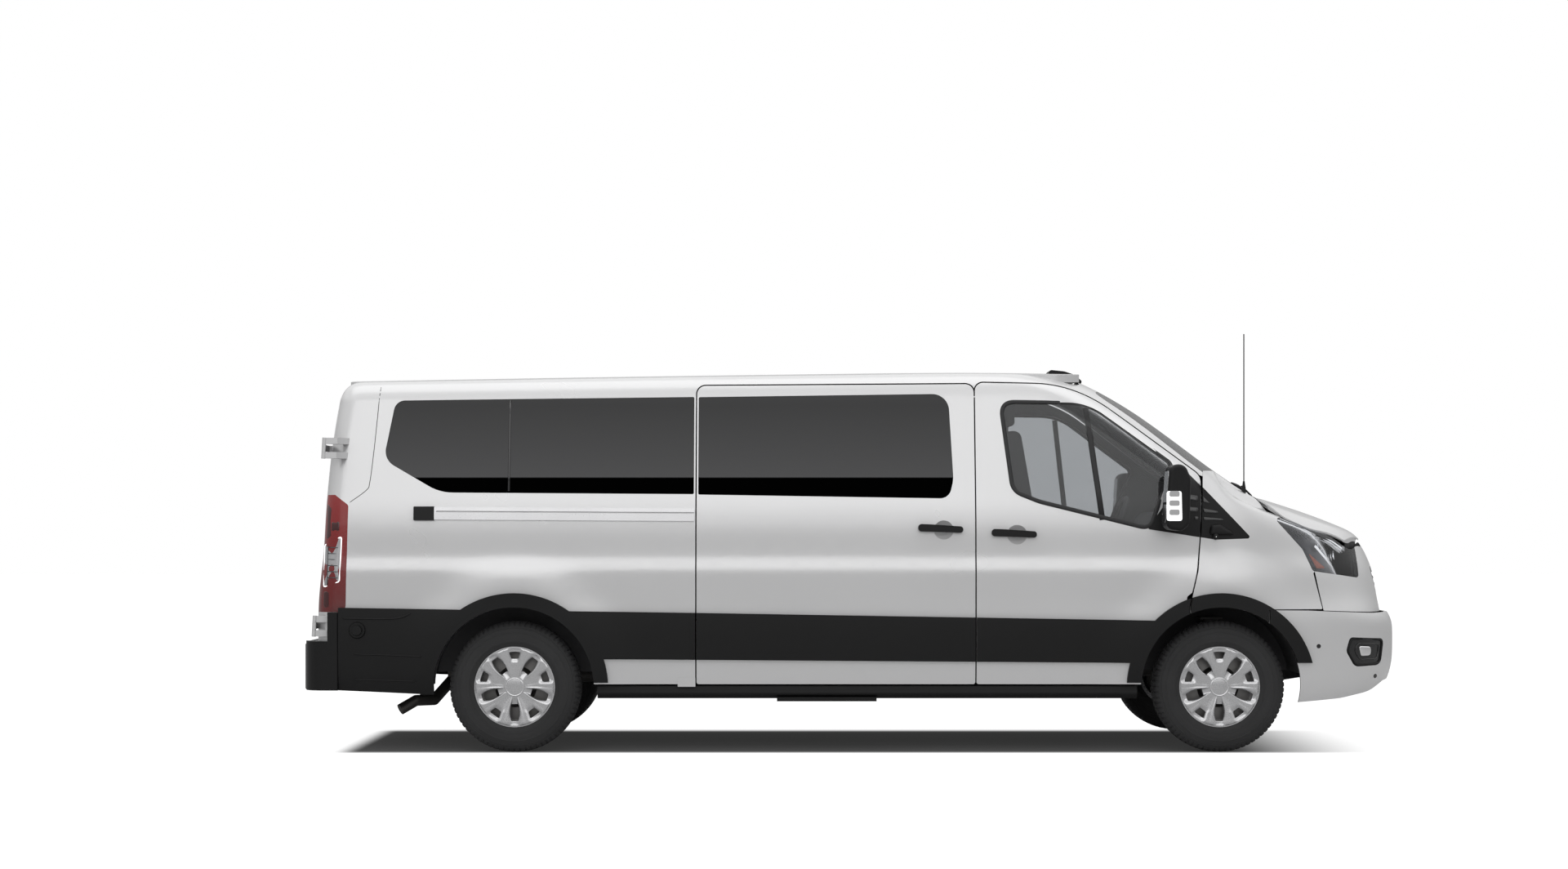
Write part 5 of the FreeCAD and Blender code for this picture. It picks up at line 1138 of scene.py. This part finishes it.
def post_foot():
    """Fills the post's foot out to the sill behind the sliding door."""
    def wall(x, z, out):
        return Vector((x, FOOT_Y - FOOT_LEAN * (z - FOOT_LOW) - out, z))

    corners = rectangle(SLIDER_REAR_X - 0.100, SLIDER_REAR_X - 0.006, FOOT_LOW, FOOT_HIGH, 0.001)
    plate("post_foot", corners, wall, 0.004, MATERIALS["body_paint"], "body")


slot_seal()
post_foot()


# Camera, floor and light

FLOOR_SEEN = (0.22, 0.22, 0.22, 1)
FLOOR_UNSEEN = (0.80, 0.80, 0.80, 1)
SHADOW_GLOW = 0.026
SKY_LIGHT = 0.46
SKY_MIRRORED = (0.42, 1.15)


def camera():
    """Level camera that looks along +Y."""
    data = bpy.data.cameras.new("camera")
    data.sensor_width = SENSOR_WIDTH
    data.lens = CAMERA_LENS
    data.shift_y = (HORIZON_ROW - IMAGE_HEIGHT / 2) / IMAGE_WIDTH
    item = add_object("camera", data)
    item.location = CAMERA_PLACE
    item.rotation_euler = (math.pi / 2, 0, 0)
    bpy.context.scene.camera = item


def between(tree, value, start, end):
    """1 between two edges and 0 beyond them, each edge given as a place and how softly it fades."""
    steps = [span(tree, value, place - soft, place + soft, *share, interpolation_type="SMOOTHSTEP")
             for (place, soft), share in ((start, (0.0, 1.0)), (end, (1.0, 0.0)))]
    return product(tree, *steps)


def floor():
    """White studio floor that glows to the camera outside a painted shadow under the van, and is plain to
    other rays.
    """
    mesh = bpy.data.meshes.new("floor")
    reach = 60.0
    corners = [(-reach, -reach, 0), (reach, -reach, 0), (reach, reach, 0), (-reach, reach, 0)]
    mesh.from_pydata(corners, [], [(0, 1, 2, 3)])
    item = add_object("floor", mesh)
    material, tree, shader = new_material("floor")
    tree.nodes.remove(shader)
    place = split(tree, place_in(tree))
    # Painted shadow: the floor's glow is cut down in a soft-edged box under the van; the dim floor there
    # still takes the real shadow
    shadow = product(tree, between(tree, place["X"], SHADOW_REAR, SHADOW_FRONT),
                     between(tree, place["Y"], SHADOW_NEAR, SHADOW_FAR))
    glow = add(tree, "Emission", {"Strength": span(tree, shadow, 0, 1, 1.0, SHADOW_GLOW)})
    shaded = add(tree, "BsdfDiffuse", {"Color": FLOOR_SEEN})
    plain = add(tree, "BsdfDiffuse", {"Color": FLOOR_UNSEEN})
    seen = add(tree, "AddShader", {0: shaded.outputs["BSDF"], 1: glow.outputs["Emission"]})
    ray = add(tree, "LightPath", {}).outputs
    either = add(tree, "MixShader", {"Fac": ray["Is Camera Ray"], 1: plain.outputs["BSDF"],
                                     2: seen.outputs["Shader"]})
    feed(tree, tree.nodes["Material Output"], {"Surface": either.outputs["Shader"]})
    mesh.materials.append(material)


def world():
    """White surroundings: plain to the camera, dimmer as a light, and brighter upwards in reflections."""
    sky = bpy.data.worlds.new("studio")
    bpy.context.scene.world = sky
    sky.use_nodes = True
    tree = sky.node_tree
    ray = add(tree, "LightPath", {}).outputs
    seen = add(tree, "Math", {0: ray["Is Camera Ray"], 1: ray["Is Transmission Ray"]}, operation="MAXIMUM")
    strength = span(tree, seen.outputs["Value"], 0, 1, SKY_LIGHT, 1.0)
    height = split(tree, add(tree, "TexCoord", {}).outputs["Generated"])["Z"]
    mirrored = span(tree, height, 0.05, 0.60, *SKY_MIRRORED, interpolation_type="SMOOTHSTEP")
    mix = add(tree, "Mix", {"Factor": ray["Is Glossy Ray"], "A": strength, "B": mirrored})
    feed(tree, tree.nodes["Background"], {"Color": (1, 1, 1, 1), "Strength": mix.outputs["Result"]})


def area_light(name, place, target, size, energy):
    """Rectangular lamp that faces a target."""
    data = bpy.data.lights.new(name, "AREA")
    data.shape = "RECTANGLE"
    data.size, data.size_y = size
    data.energy = energy
    item = add_object(name, data)
    item.location = place
    item.rotation_euler = (Vector(target) - Vector(place)).to_track_quat("-Z", "Y").to_euler()


camera()
floor()
world()
area_light("overhead", place=(0.0, -0.5, 7.0), target=(0, 0, 0), size=(12.0, 5.0), energy=125)
area_light("near_side", place=(-1.0, -9.0, 4.5), target=(0, 0, 1.0), size=(12.0, 4.0), energy=115)

bpy.context.scene.view_settings.view_transform = "Standard"
